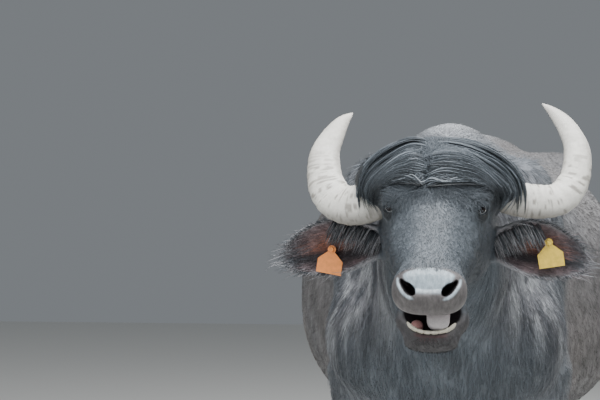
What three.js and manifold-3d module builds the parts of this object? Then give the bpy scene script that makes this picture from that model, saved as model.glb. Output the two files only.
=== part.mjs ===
// A water buffalo cow at life size, standing square with her head up, her mouth open and a tag in each ear.
// Millimetres, +Z up. She faces -Y, her left side is +X, and the hooves stand on z = 0.
// Flesh is described by one smooth field of named masses. Each part of the body is a shell whose points are cast
// outwards onto that field from the part's own axis, and thin plane cuts part one piece from the next.
import * as THREE from "three";
import { mergeVertices } from "three/addons/utils/BufferGeometryUtils.js";
import Module from "manifold-3d";

const wasm = await Module();
wasm.setup();

// Driving sizes

const GAP = 0.35; // air between pieces that touch
const CLEAR = 0.3; // how much a piece is grown before its neighbour is cut clear of it
const CENTRE_SHIFT_Y = 216; // brings the middle of nose to tail onto the origin
const EYE_HEIGHT = 1200;
const EYE_Y = -1120;
const HEAD_X = 14;
const HEAD_PITCH = THREE.MathUtils.degToRad(32); // how far the nose points below level
const HEAD_YAW = THREE.MathUtils.degToRad(0.5); // turned to her left
const HEAD_ROLL = THREE.MathUtils.degToRad(-1.2); // her left eye the lower
const JAW_OPENING = THREE.MathUtils.degToRad(16);
const EYE_RADIUS = 20;
const EYE_SPOT = { f: 4, s: 96, u: -44 }; // eyeball centre: forward, sideways, up in the head's own axes
const LID = EYE_RADIUS + 5; // radius over the eyelids
const SEED = 20;

// Materials, with colours read by eye from the photo

function material(color, roughness, metalness = 0) {
  return new THREE.MeshStandardMaterial({ color, roughness, metalness });
}
const LOOKS = {
  coat: material(0x3d4247, 0.62),
  forelock: material(0x4a4f54, 0.55),
  muzzle: material(0x5d646b, 0.35),
  horn: material(0xc9c6bb, 0.45),
  hoof: material(0x2b2826, 0.5),
  eye: material(0x1c1512, 0.08),
  tongue: material(0xa8969a, 0.4),
  ear: material(0x4a3d3b, 0.65),
  orangeTag: material(0xf08a3c, 0.4),
  yellowTag: material(0xf2c93a, 0.4),
  switchHair: material(0x26282b, 0.6),
  udder: material(0x5b5556, 0.55),
};

// Small helpers

const V = (x, y, z) => new THREE.Vector3(x, y, z);
const lerp = THREE.MathUtils.lerp;
const clamp = THREE.MathUtils.clamp;
const smoothstep = THREE.MathUtils.smoothstep;

// A repeatable random number from 0 to 1.
function randomFrom(seed) {
  let state = seed;
  return () => {
    state = (state * 1664525 + 1013904223) % 4294967296;
    return state / 4294967296;
  };
}

// The named size of a row of stations at a place along them, on a smooth curve through the stations.
function sizeAt(rows, name, at) {
  const last = rows.length - 1;
  if (at <= rows[0].at) return rows[0][name];
  if (at >= rows[last].at) return rows[last][name];
  let i = 0;
  while (rows[i + 1].at < at) i++;
  const [before, from, to, after] = [rows[Math.max(i - 1, 0)], rows[i], rows[i + 1], rows[Math.min(i + 2, last)]];
  const span = to.at - from.at;
  const t = (at - from.at) / span;
  const slopeFrom = (span * (to[name] - before[name])) / (to.at - before.at);
  const slopeTo = (span * (after[name] - from[name])) / (after.at - from.at);
  const t2 = t * t;
  const t3 = t2 * t;
  return (
    (2 * t3 - 3 * t2 + 1) * from[name] +
    (t3 - 2 * t2 + t) * slopeFrom +
    (3 * t2 - 2 * t3) * to[name] +
    (t3 - t2) * slopeTo
  );
}

// Signed distance, roughly, from a closed section: across is sideways, high is from the bottom to the top.
function sectionDistance(across, high, size) {
  const reach = high > size.mid ? size.top - size.mid : size.mid - size.bottom;
  const q = Math.pow(
    Math.pow(Math.abs(across) / size.half, size.power) + Math.pow(Math.abs(high - size.mid) / reach, size.power),
    1 / size.power,
  );
  return (q - 1) * Math.min(size.half, reach);
}

function stationDistance(rows, power, at, across, high) {
  const size = {
    half: sizeAt(rows, "half", at),
    top: sizeAt(rows, "top", at),
    bottom: sizeAt(rows, "bottom", at),
    mid: sizeAt(rows, "mid", at),
    power,
  };
  const past = Math.max(rows[0].at - at, at - rows[rows.length - 1].at, 0);
  return sectionDistance(across, high, size) + past;
}

// Signed distance, roughly, from an egg with its own radii, tipped by a turn about X.
function eggDistance(x, y, z, egg) {
  const dy = y - egg.y;
  const dz = z - egg.z;
  const c = Math.cos(egg.tip ?? 0);
  const s = Math.sin(egg.tip ?? 0);
  const px = (x - egg.x) / egg.rx;
  const py = (dy * c + dz * s) / egg.ry;
  const pz = (dz * c - dy * s) / egg.rz;
  const k0 = Math.hypot(px, py, pz);
  const k1 = Math.hypot(px / egg.rx, py / egg.ry, pz / egg.rz);
  return k1 < 1e-9 ? -Math.min(egg.rx, egg.ry, egg.rz) : (k0 * (k0 - 1)) / k1;
}

function blend(a, b, width) {
  const h = Math.max(width - Math.abs(a - b), 0) / width;
  return Math.min(a, b) - (h * h * width) / 4;
}

// The trunk

const TRUNK = [
  { at: -700, half: 60, top: 930, bottom: 780, mid: 850 },
  { at: -665, half: 150, top: 1040, bottom: 712, mid: 870 },
  { at: -580, half: 222, top: 1230, bottom: 634, mid: 885 },
  { at: -420, half: 268, top: 1332, bottom: 585, mid: 890 },
  { at: -200, half: 345, top: 1320, bottom: 562, mid: 890 },
  { at: 40, half: 425, top: 1302, bottom: 535, mid: 890 },
  { at: 240, half: 440, top: 1296, bottom: 536, mid: 890 },
  { at: 430, half: 372, top: 1298, bottom: 594, mid: 910 },
  { at: 620, half: 290, top: 1282, bottom: 700, mid: 960 },
  { at: 780, half: 215, top: 1236, bottom: 800, mid: 1000 },
  { at: 860, half: 130, top: 1150, bottom: 900, mid: 1020 },
  { at: 885, half: 50, top: 1080, bottom: 980, mid: 1030 },
];
const TRUNK_POWER = 2.3;
const TRUNK_BLEND = 70;

// Muscles and bones that show under the skin, one side only: the other is its mirror.
const TRUNK_MASSES = [
  { x: 200, y: -440, z: 1050, rx: 92, ry: 135, rz: 245, tip: 0.28 }, // shoulder blade
  { x: 205, y: -560, z: 850, rx: 92, ry: 118, rz: 135 }, // point of the shoulder
  { x: 215, y: -400, z: 740, rx: 82, ry: 125, rz: 135 }, // elbow
  { x: 248, y: 425, z: 1204, rx: 74, ry: 100, rz: 66 }, // hip bone
  { x: 205, y: 640, z: 965, rx: 118, ry: 205, rz: 285, tip: -0.12 }, // thigh
  { x: 212, y: 500, z: 770, rx: 88, ry: 120, rz: 140 }, // stifle
  { x: 112, y: 828, z: 1120, rx: 62, ry: 62, rz: 68 }, // pin bone
];
const SPINE_MASSES = [
  { x: 0, y: -400, z: 1278, rx: 62, ry: 165, rz: 72 }, // withers
  { x: 0, y: 480, z: 1256, rx: 110, ry: 190, rz: 56 }, // croup
  { x: 0, y: -570, z: 730, rx: 105, ry: 115, rz: 110 }, // brisket
  { x: 0, y: 835, z: 1185, rx: 50, ry: 70, rz: 45 }, // root of the tail
];

function trunkDistance(p) {
  let d = stationDistance(TRUNK, TRUNK_POWER, p.y, p.x, p.z);
  for (const egg of TRUNK_MASSES) d = blend(d, eggDistance(Math.abs(p.x), p.y, p.z, egg), TRUNK_BLEND);
  for (const egg of SPINE_MASSES) d = blend(d, eggDistance(p.x, p.y, p.z, egg), TRUNK_BLEND);
  return d;
}

// The legs. Stations run up the leg; x and y place the middle of the section, top is its front and bottom its back.

const FORELEG = [
  { at: 70, x: 176, y: -474, half: 56, top: 62, bottom: -54 },
  { at: 118, x: 178, y: -456, half: 41, top: 40, bottom: -42 },
  { at: 165, x: 180, y: -440, half: 47, top: 46, bottom: -54 },
  { at: 215, x: 181, y: -437, half: 37, top: 38, bottom: -42 },
  { at: 290, x: 182, y: -437, half: 34, top: 37, bottom: -40 },
  { at: 355, x: 183, y: -438, half: 43, top: 46, bottom: -45 },
  { at: 405, x: 184, y: -438, half: 54, top: 55, bottom: -53 },
  { at: 455, x: 186, y: -434, half: 50, top: 50, bottom: -54 },
  { at: 540, x: 192, y: -428, half: 58, top: 62, bottom: -72 },
  { at: 640, x: 202, y: -420, half: 76, top: 82, bottom: -104 },
  { at: 760, x: 208, y: -410, half: 84, top: 104, bottom: -126 },
];
const HINDLEG = [
  { at: 70, x: 168, y: 606, half: 53, top: 60, bottom: -52 },
  { at: 118, x: 169, y: 624, half: 40, top: 39, bottom: -42 },
  { at: 168, x: 170, y: 642, half: 46, top: 45, bottom: -54 },
  { at: 225, x: 171, y: 652, half: 36, top: 38, bottom: -43 },
  { at: 330, x: 173, y: 668, half: 34, top: 40, bottom: -42 },
  { at: 430, x: 176, y: 688, half: 42, top: 50, bottom: -50 },
  { at: 500, x: 180, y: 700, half: 47, top: 62, bottom: -62 },
  { at: 560, x: 184, y: 690, half: 44, top: 64, bottom: -66 },
  { at: 640, x: 192, y: 652, half: 60, top: 100, bottom: -84 },
  { at: 740, x: 202, y: 596, half: 88, top: 140, bottom: -130 },
  { at: 880, x: 206, y: 596, half: 104, top: 170, bottom: -180 },
];
const LEG_POWER = 2.3;
const LEG_BLEND = 60;

// Every leg stands a little differently: how far each foot is set forward (-) or back (+) of the square stance.
const LEGS = [
  { name: "foreleg_left", rows: FORELEG, side: 1, step: -26 },
  { name: "foreleg_right", rows: FORELEG, side: -1, step: 22 },
  { name: "hindleg_left", rows: HINDLEG, side: 1, step: 34 },
  { name: "hindleg_right", rows: HINDLEG, side: -1, step: -30 },
];

function legMiddle(leg, z) {
  const foot = leg.rows[0].at;
  const hip = leg.rows[leg.rows.length - 1].at;
  const stride = leg.step * (1 - smoothstep(z, foot, hip));
  return V(leg.side * sizeAt(leg.rows, "x", z), sizeAt(leg.rows, "y", z) + stride, z);
}

function legDistance(leg, p) {
  const middle = legMiddle(leg, p.z);
  const size = {
    half: sizeAt(leg.rows, "half", p.z),
    top: sizeAt(leg.rows, "top", p.z),
    bottom: sizeAt(leg.rows, "bottom", p.z),
    mid: 0,
    power: LEG_POWER,
  };
  const past = Math.max(p.z - leg.rows[leg.rows.length - 1].at, 0);
  return sectionDistance(p.x - middle.x, middle.y - p.y, size) + past;
}

// The neck: a straight axis from inside the shoulders to the back of the head, a little to her left.

const NECK_ROOT = V(0, -450, 1060);
const NECK_END = V(HEAD_X - 2, -965, 1172);
const NECK_AXIS = NECK_END.clone().sub(NECK_ROOT).normalize();
const NECK_SIDE = V(0, 0, 1).cross(NECK_AXIS).negate().normalize();
const NECK_UP = NECK_SIDE.clone().cross(NECK_AXIS).normalize();
const NECK_LENGTH = NECK_END.distanceTo(NECK_ROOT);
const NECK = [
  { at: -60, half: 190, top: 250, bottom: -300, mid: -20 },
  { at: 120, half: 186, top: 232, bottom: -290, mid: -24 },
  { at: 260, half: 160, top: 178, bottom: -246, mid: -30 },
  { at: 400, half: 132, top: 134, bottom: -196, mid: -34 },
  { at: 540, half: 112, top: 112, bottom: -150, mid: -30 },
];
const NECK_POWER = 2.15;

function neckDistance(p) {
  const d = p.clone().sub(NECK_ROOT);
  return stationDistance(NECK, NECK_POWER, d.dot(NECK_AXIS), d.dot(NECK_SIDE), d.dot(NECK_UP));
}

// The head, in its own axes: f forward down the nose, s to her left, u up out of the face.

const HEAD_FACING = V(Math.sin(HEAD_YAW), -Math.cos(HEAD_YAW), 0);
const F = HEAD_FACING.clone().multiplyScalar(Math.cos(HEAD_PITCH)).add(V(0, 0, -Math.sin(HEAD_PITCH)));
const LEVEL_U = HEAD_FACING.clone().multiplyScalar(Math.sin(HEAD_PITCH)).add(V(0, 0, Math.cos(HEAD_PITCH)));
const U = LEVEL_U.applyAxisAngle(F, HEAD_ROLL);
const S = V(Math.cos(HEAD_YAW), Math.sin(HEAD_YAW), 0).applyAxisAngle(F, HEAD_ROLL);
const HEAD_ORIGIN = V(HEAD_X, EYE_Y, EYE_HEIGHT).addScaledVector(U, -EYE_SPOT.u);

function fromHead(f, s, u) {
  return HEAD_ORIGIN.clone().addScaledVector(F, f).addScaledVector(S, s).addScaledVector(U, u);
}

function toHead(p) {
  const d = p.clone().sub(HEAD_ORIGIN);
  return { f: d.dot(F), s: d.dot(S), u: d.dot(U) };
}

const HEAD = [
  { at: -205, half: 96, top: -70, bottom: -225, mid: -140 },
  { at: -150, half: 118, top: 4, bottom: -264, mid: -120 },
  { at: -90, half: 122, top: 38, bottom: -280, mid: -110 },
  { at: -30, half: 114, top: 38, bottom: -274, mid: -105 },
  { at: 25, half: 97, top: 20, bottom: -256, mid: -102 },
  { at: 75, half: 80, top: 4, bottom: -232, mid: -98 },
  { at: 120, half: 68, top: -5, bottom: -204, mid: -90 },
  { at: 155, half: 66, top: -9, bottom: -158, mid: -80 },
  { at: 190, half: 67, top: -11, bottom: -130, mid: -74 },
  { at: 240, half: 70, top: -15, bottom: -122, mid: -76 },
  { at: 280, half: 72, top: -26, bottom: -118, mid: -80 },
  { at: 308, half: 54, top: -50, bottom: -106, mid: -82 },
];
const HEAD_POWER = 2.5;
const HEAD_BLEND = 34;

// Head masses in head axes, x for s, y for f and z for u, one side only.
const HEAD_MASSES = [
  { x: 84, y: -14, z: -30, rx: 38, ry: 46, rz: 34 }, // rim of the eye socket
  { x: 118, y: -118, z: -62, rx: 62, ry: 56, rz: 54 }, // boss that carries the horn
  { x: 88, y: -40, z: -165, rx: 38, ry: 92, rz: 84 }, // chewing muscle
  { x: 68, y: 78, z: -96, rx: 24, ry: 84, rz: 30 }, // cheek ridge
  { x: 48, y: 266, z: -66, rx: 32, ry: 42, rz: 46 }, // wing of the nostril
  { x: 92, y: -84, z: -180, rx: 38, ry: 50, rz: 50 }, // root of the ear
];
const HEAD_MIDDLE_MASSES = [
  { x: 0, y: -76, z: -2, rx: 86, ry: 92, rz: 50 }, // domed forehead
  { x: 0, y: 272, z: -104, rx: 66, ry: 38, rz: 26 }, // upper lip
];

function headDistance(p) {
  const q = toHead(p);
  let d = stationDistance(HEAD, HEAD_POWER, q.f, q.s, q.u);
  for (const egg of HEAD_MASSES) d = blend(d, eggDistance(Math.abs(q.s), q.f, q.u, egg), HEAD_BLEND);
  for (const egg of HEAD_MIDDLE_MASSES) d = blend(d, eggDistance(q.s, q.f, q.u, egg), HEAD_BLEND);
  return d;
}

// The lower jaw, in the head's axes with the mouth shut, then swung open about its joint.

const JAW_JOINT = { f: -110, u: -105 };
const JAW = [
  { at: -40, half: 74, top: -150, bottom: -250, mid: -200 },
  { at: 50, half: 68, top: -136, bottom: -226, mid: -180 },
  { at: 120, half: 66, top: -124, bottom: -198, mid: -158 },
  { at: 180, half: 76, top: -120, bottom: -186, mid: -152 },
  { at: 228, half: 73, top: -116, bottom: -184, mid: -148 },
  { at: 262, half: 62, top: -118, bottom: -178, mid: -146 },
  { at: 284, half: 34, top: -130, bottom: -164, mid: -146 },
];
const JAW_POWER = 2.4;

function swingJaw(f, u, angle) {
  const df = f - JAW_JOINT.f;
  const du = u - JAW_JOINT.u;
  return {
    f: JAW_JOINT.f + df * Math.cos(angle) + du * Math.sin(angle),
    u: JAW_JOINT.u + du * Math.cos(angle) - df * Math.sin(angle),
  };
}

function fromJaw(f, s, u) {
  const open = swingJaw(f, u, JAW_OPENING);
  return fromHead(open.f, s, open.u);
}

function jawDistance(p) {
  const q = toHead(p);
  const shut = swingJaw(q.f, q.u, -JAW_OPENING);
  return stationDistance(JAW, JAW_POWER, shut.f, q.s, shut.u);
}

// Where the body is parted

const NECK_CUT = { point: V(0, -590, 1060), normal: V(0, -0.921, 0.39) }; // normal points to the head
const HEAD_CUT = { point: V(HEAD_X, -952, 1170), normal: V(0, -1, 0) };
const FORELEG_CUT = { inner: V(80, 0, 566), outer: V(300, 0, 672) };
const HINDLEG_CUT = { inner: V(70, 0, 640), outer: V(310, 0, 720) };

function legCut(leg) {
  const cut = leg.rows === FORELEG ? FORELEG_CUT : HINDLEG_CUT;
  const run = cut.outer.clone().sub(cut.inner).normalize();
  const normal = V(run.z * leg.side, 0, -run.x); // points down the leg
  return { point: V(cut.inner.x * leg.side, 0, cut.inner.z), normal };
}

function pastPlane(p, plane) {
  return p.clone().sub(plane.point).dot(plane.normal);
}

// A limb's distance, ended a little past its cut so that the neighbour can carry a stump to be trimmed.
function stump(distance, p, plane) {
  const STUMP = 16;
  return Math.max(distance, pastPlane(p, plane) - STUMP);
}

function torsoDistance(p) {
  let d = blend(trunkDistance(p), stump(neckDistance(p), p, NECK_CUT), 90);
  for (const leg of LEGS) d = blend(d, stump(legDistance(leg, p), p, legCut(leg)), LEG_BLEND);
  return d;
}

function frontDistance(p) {
  return blend(blend(trunkDistance(p), neckDistance(p), 90), headDistance(p), 60);
}

function headAndNeckDistance(p) {
  return blend(headDistance(p), neckDistance(p), 60);
}

function legAndTrunkDistance(leg) {
  return (p) => blend(legDistance(leg, p), trunkDistance(p), LEG_BLEND);
}

// Shells

// How far from a point inside the surface the surface lies in one direction.
function castOut(distance, from, direction, reach) {
  const STEP = 9;
  const p = V(0, 0, 0);
  const inside = (r) => distance(p.copy(from).addScaledVector(direction, r)) < 0;
  let near = 0;
  let far = STEP;
  while (far < reach && inside(far)) {
    near = far;
    far += STEP;
  }
  if (far >= reach) return reach;
  for (let i = 0; i < 12; i++) {
    const middle = (near + far) / 2;
    if (inside(middle)) near = middle;
    else far = middle;
  }
  return Math.max((near + far) / 2, 1);
}

// A closed mesh from rings of points and a point at each end.
function closedRings(rings, first, last) {
  const sides = rings[0].length;
  const points = [...rings.flat(), first, last];
  const start = points.length - 2;
  const end = points.length - 1;
  const index = [];
  for (let i = 0; i < rings.length - 1; i++)
    for (let j = 0; j < sides; j++) {
      const k = (j + 1) % sides;
      const [a, b, c, d] = [i * sides + j, i * sides + k, (i + 1) * sides + k, (i + 1) * sides + j];
      index.push(a, b, c, a, c, d);
    }
  const tail = (rings.length - 1) * sides;
  for (let j = 0; j < sides; j++) {
    const k = (j + 1) % sides;
    index.push(start, k, j, end, tail + j, tail + k);
  }
  const geometry = new THREE.BufferGeometry().setFromPoints(points);
  geometry.setIndex(index);
  return geometry;
}

// A shell round an axis. Each frame has a middle, an axis, a side and an up; lean tips its rays towards the axis.
function castShell(distance, frames, sides, reach, turn = 0) {
  const ring = (frame) =>
    Array.from({ length: sides }, (_, j) => {
      const angle = ((j + turn) / sides) * 2 * Math.PI;
      const lean = frame.lean ?? 0;
      const ray = frame.side
        .clone()
        .multiplyScalar(Math.cos(angle))
        .addScaledVector(frame.up, Math.sin(angle))
        .multiplyScalar(Math.cos(lean))
        .addScaledVector(frame.axis, Math.sin(lean));
      return frame.middle.clone().addScaledVector(ray, castOut(distance, frame.middle, ray, frame.reach ?? reach));
    });
  const tip = (frame, sign) => {
    if (!frame.lean) return frame.middle.clone();
    const ray = frame.axis.clone().multiplyScalar(sign);
    return frame.middle.clone().addScaledVector(ray, castOut(distance, frame.middle, ray, frame.reach ?? reach));
  };
  const [first, last] = [frames[0], frames[frames.length - 1]];
  return closedRings(frames.map(ring), tip(first, -1), tip(last, 1));
}

// Frames that lean from square to nearly along the axis, for a rounded end.
function roundEnd(frame, steps, sign) {
  return Array.from({ length: steps }, (_, i) => ({
    ...frame,
    lean: (sign * ((i + 1) / (steps + 1)) * Math.PI) / 2,
  }));
}

// Solids

function solid(geometry) {
  const bare = geometry.index ? geometry.toNonIndexed() : geometry.clone();
  const only = new THREE.BufferGeometry().setAttribute("position", bare.getAttribute("position"));
  const merged = mergeVertices(only, 1e-3);
  const made = new wasm.Manifold(
    new wasm.Mesh({
      numProp: 3,
      vertProperties: merged.attributes.position.array,
      triVerts: new Uint32Array(merged.index.array),
    }),
  );
  if (made.volume() >= 0) return made;
  const flipped = new Uint32Array(merged.index.array);
  for (let i = 0; i < flipped.length; i += 3) [flipped[i], flipped[i + 1]] = [flipped[i + 1], flipped[i]];
  return new wasm.Manifold(
    new wasm.Mesh({ numProp: 3, vertProperties: merged.attributes.position.array, triVerts: flipped }),
  );
}

function largest(made) {
  return made.decompose().sort((a, b) => b.volume() - a.volume())[0];
}

// Keeps what lies before a plane, or past it, with half the gap left off.
function before(made, plane) {
  const n = plane.normal.clone().negate();
  return made.trimByPlane([n.x, n.y, n.z], plane.point.dot(n) + GAP / 2);
}
function beyond(made, plane) {
  const n = plane.normal;
  return made.trimByPlane([n.x, n.y, n.z], plane.point.dot(n) + GAP / 2);
}

function geometryOf(made) {
  const mesh = made.getMesh();
  const geometry = new THREE.BufferGeometry();
  geometry.setAttribute("position", new THREE.BufferAttribute(new Float32Array(mesh.vertProperties), 3));
  geometry.setIndex(new THREE.BufferAttribute(new Uint32Array(mesh.triVerts), 1));
  geometry.computeVertexNormals();
  return geometry;
}

// The same shell a little larger, for cutting a neighbour clear of it.
function grown(geometry, by) {
  const merged = mergeVertices(
    new THREE.BufferGeometry().setAttribute("position", geometry.toNonIndexed().getAttribute("position")),
    1e-3,
  );
  merged.computeVertexNormals();
  const [p, n] = [merged.attributes.position, merged.attributes.normal];
  for (let i = 0; i < p.count; i++) {
    p.setXYZ(i, p.getX(i) + n.getX(i) * by, p.getY(i) + n.getY(i) * by, p.getZ(i) + n.getZ(i) * by);
  }
  return merged;
}

function clearOf(made, neighbour) {
  return made.subtract(solid(grown(geometryOf(largest(neighbour)), CLEAR))).subtract(neighbour);
}

const root = new THREE.Group();
function addNode(name, made, look) {
  const mesh = new THREE.Mesh(geometryOf(largest(made)), LOOKS[look]);
  mesh.name = name;
  root.add(mesh);
}

// Torso

const TORSO_SIDES = 34;
const TORSO_RINGS = 24;
const TORSO_AXIS = [
  { at: -500, z: 900 },
  { at: 0, z: 930 },
  { at: 450, z: 960 },
  { at: 790, z: 1030 },
];

function torsoFrames() {
  const frame = (y) => ({
    middle: V(0, y, sizeAt(TORSO_AXIS, "z", y)),
    axis: V(0, 1, 0),
    side: V(1, 0, 0),
    up: V(0, 0, 1),
  });
  const [from, to] = [TORSO_AXIS[0].at, TORSO_AXIS[3].at];
  const body = Array.from({ length: TORSO_RINGS }, (_, i) => frame(lerp(from, to, i / (TORSO_RINGS - 1))));
  return [...roundEnd(frame(from), 8, -1).reverse(), ...body, ...roundEnd(frame(to), 4, 1)];
}

// A block on the leg's side of its cut, just wide enough for the stump.
function stumpBlock(leg) {
  const cut = legCut(leg);
  const middle = legMiddle(leg, cut.point.z + 60);
  const block = new THREE.BoxGeometry(330, 330, 60);
  const tilt = Math.atan2(cut.normal.x, -cut.normal.z);
  block.translate(0, 0, -30 + GAP / 2);
  block.rotateY(-tilt);
  const onPlane = (cut.point.x - middle.x) * cut.normal.x;
  const z = cut.point.z + onPlane / cut.normal.z;
  block.translate(middle.x, middle.y, z);
  return solid(block);
}

const torsoShell = castShell(torsoDistance, torsoFrames(), TORSO_SIDES, 700, 0.5);
let torso = before(solid(torsoShell), NECK_CUT);
for (const leg of LEGS) torso = torso.subtract(stumpBlock(leg));
torso = largest(torso);

// Neck

const NECK_SIDES = 24;
const NECK_RINGS = 12;

function neckShell() {
  const frames = Array.from({ length: NECK_RINGS }, (_, i) => ({
    middle: NECK_ROOT.clone().addScaledVector(NECK_AXIS, lerp(40, NECK_LENGTH + 90, i / (NECK_RINGS - 1))),
    axis: NECK_AXIS,
    side: NECK_SIDE,
    up: NECK_UP,
  }));
  return castShell(frontDistance, frames, NECK_SIDES, 420);
}
const neck = beyond(before(solid(neckShell()), HEAD_CUT), NECK_CUT);

// Head

const HEAD_SIDES = 28;
const HEAD_AXIS = [
  { at: -240, u: -120 },
  { at: -60, u: -105 },
  { at: 60, u: -90 },
  { at: 160, u: -75 },
  { at: 272, u: -76 },
];
const HEAD_RING_PLACES = [
  -240, -210, -182, -156, -132, -108, -84, -60, -38, -16, 6, 28, 52, 78, 106, 134, 162, 190, 216, 240, 260,
];

function headFrames() {
  const frame = (f) => ({
    middle: fromHead(f, 0, sizeAt(HEAD_AXIS, "u", f)),
    axis: F,
    side: S.clone().negate(),
    up: U,
  });
  return [...HEAD_RING_PLACES.map(frame), ...roundEnd(frame(272), 5, 1)];
}

const headShell = castShell(headAndNeckDistance, headFrames(), HEAD_SIDES, 330);
const headSolid = beyond(solid(headShell), HEAD_CUT);

// A ball or egg in head axes, turned so that its long axis follows a direction there.
function headEgg(place, radii, turn = [0, 0, 0], detail = [14, 9]) {
  const egg = new THREE.SphereGeometry(1, ...detail);
  egg.scale(...radii); // x is s, y is f, z is u
  egg.applyMatrix4(new THREE.Matrix4().makeRotationFromEuler(new THREE.Euler(...turn)));
  egg.applyMatrix4(new THREE.Matrix4().makeBasis(S, F, U));
  const middle = fromHead(place.f, place.s, place.u);
  egg.translate(middle.x, middle.y, middle.z);
  return solid(egg);
}

const sideways = (place, side) => ({ ...place, s: place.s * side });

function withEyeSockets(made) {
  let head = made;
  for (const side of [1, -1]) {
    const eye = sideways(EYE_SPOT, side);
    head = head.add(headEgg(eye, [LID, LID, LID]));
    head = head.subtract(headEgg(eye, [EYE_RADIUS + GAP, EYE_RADIUS + GAP, EYE_RADIUS + GAP]));
    const opening = { f: EYE_SPOT.f + 17, s: (EYE_SPOT.s + 15) * side, u: EYE_SPOT.u + 3 };
    head = head.subtract(headEgg(opening, [19, 17, 10], [0.1, 0, -0.75 * side]));
  }
  return head;
}

function withNostrils(made) {
  let head = made;
  for (const side of [1, -1]) {
    const nostril = { f: 301, s: 46 * side, u: -52 };
    head = head.subtract(headEgg(nostril, [21, 26, 9], [0.3, -0.75 * side, 0.2 * side], [12, 8]));
  }
  return head;
}

// Mouth roof: a shallow vault under the upper jaw, behind the lip.
function withPalate(made) {
  return made.subtract(headEgg({ f: 196, s: 0, u: -134 }, [52, 84, 24], [0.06, 0, 0], [14, 10]));
}

// Lower jaw with its front teeth

const JAW_SIDES = 22;
const JAW_RINGS = 12;
const TEETH = 8;

function jawShell() {
  const frame = (f) => ({
    middle: fromJaw(f, 0, -160),
    axis: F,
    side: S.clone().negate(),
    up: U,
  });
  const rings = Array.from({ length: JAW_RINGS }, (_, i) => frame(lerp(-30, 240, i / (JAW_RINGS - 1))));
  return castShell(jawDistance, [...rings, ...roundEnd(frame(246), 4, 1)], JAW_SIDES, 200);
}

function tooth(angle) {
  const [wide, deep, tall] = [8.4, 4.6, 15];
  const crown = new THREE.CylinderGeometry(wide, wide * 0.8, tall, 6, 1);
  crown.rotateX(Math.PI / 2);
  crown.scale(1, deep / wide, 1);
  crown.rotateZ(-angle * 0.8);
  crown.applyMatrix4(new THREE.Matrix4().makeBasis(S, F, U));
  const [archWide, archDeep, archMiddle] = [50, 34, 232];
  const place = fromJaw(archMiddle + archDeep * Math.cos(angle), archWide * Math.sin(angle), -118);
  return solid(crown.translate(place.x, place.y, place.z));
}

function lowerJaw() {
  let jaw = solid(jawShell());
  // The floor of the mouth lies below the lips, which stand up round it.
  const floor = new THREE.SphereGeometry(1, 16, 10);
  floor.scale(56, 124, 20);
  floor.rotateX(-JAW_OPENING);
  floor.applyMatrix4(new THREE.Matrix4().makeBasis(S, F, U));
  const middle = fromJaw(128, 0, -120);
  jaw = jaw.subtract(solid(floor.translate(middle.x, middle.y, middle.z)));
  for (let i = 0; i < TEETH; i++) jaw = jaw.add(tooth(lerp(-1.12, 1.12, i / (TEETH - 1))));
  return clearOf(jaw, headSolid);
}

// A rounded solid swept along a curve, with a half width and half depth at each step.
function sweep(points, side, shape, sides) {
  const rings = points.map((point, i) => {
    const ahead = points[Math.min(i + 1, points.length - 1)];
    const behind = points[Math.max(i - 1, 0)];
    const axis = ahead.clone().sub(behind).normalize();
    const across = side.clone().addScaledVector(axis, -side.dot(axis)).normalize();
    const over = axis.clone().cross(across).normalize();
    const { wide, deep } = shape(i / (points.length - 1));
    return Array.from({ length: sides }, (_, j) => {
      const a = (j / sides) * 2 * Math.PI;
      return point
        .clone()
        .addScaledVector(across, wide * Math.cos(a))
        .addScaledVector(over, deep * Math.sin(a));
    });
  });
  return closedRings(rings, points[0], points[points.length - 1]);
}

function curvePoints(stations, steps) {
  return new THREE.CatmullRomCurve3(stations, false, "centripetal").getPoints(steps);
}

// The tongue arches up from the floor of the mouth, its tip behind the front teeth.
function tongue() {
  const path = curvePoints(
    [fromJaw(100, 6, -128), fromJaw(150, 11, -110), fromJaw(188, 15, -98), fromJaw(212, 16, -102), fromJaw(226, 16, -118)],
    9,
  );
  const shape = (t) => ({ wide: 27 * Math.sqrt(Math.max(1 - Math.pow(t, 5), 0.08)), deep: lerp(24, 13, t) });
  return solid(sweep(path, S, shape, 12));
}

// Horns: flattened crescents that leave the head sideways, sweep back and rise to blunt tips.

// Middle line of each horn from the middle between the eyes: out to the side, up and back.
const HORN_LINES = {
  left: [
    { out: 92, up: 40, back: 98 },
    { out: 160, up: 19, back: 104 },
    { out: 223, up: 8, back: 126 },
    { out: 276, up: 13, back: 149 },
    { out: 308, up: 48, back: 170 },
    { out: 318, up: 91, back: 190 },
    { out: 314, up: 134, back: 212 },
    { out: 292, up: 177, back: 234 },
    { out: 262, up: 210, back: 254 },
    { out: 232, up: 233, back: 272 },
  ],
  right: [
    { out: 92, up: 34, back: 96 },
    { out: 150, up: 8, back: 100 },
    { out: 205, up: -3, back: 112 },
    { out: 243, up: 8, back: 130 },
    { out: 268, up: 42, back: 154 },
    { out: 277, up: 82, back: 180 },
    { out: 276, up: 116, back: 202 },
    { out: 262, up: 152, back: 224 },
    { out: 241, up: 187, back: 250 },
    { out: 217, up: 210, back: 272 },
  ],
};
const HORN_WIDE = { left: 42, right: 49 }; // half the broad face where it is broadest
const HORN_DEEP = 25;
const HORN_STEPS = 26;
const HORN_RIDGES = 11;

function hornPath(word, side) {
  const stations = HORN_LINES[word].map((row) =>
    V(HEAD_X + side * row.out, EYE_Y + row.back, EYE_HEIGHT + row.up),
  );
  return curvePoints(stations, HORN_STEPS);
}

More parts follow.
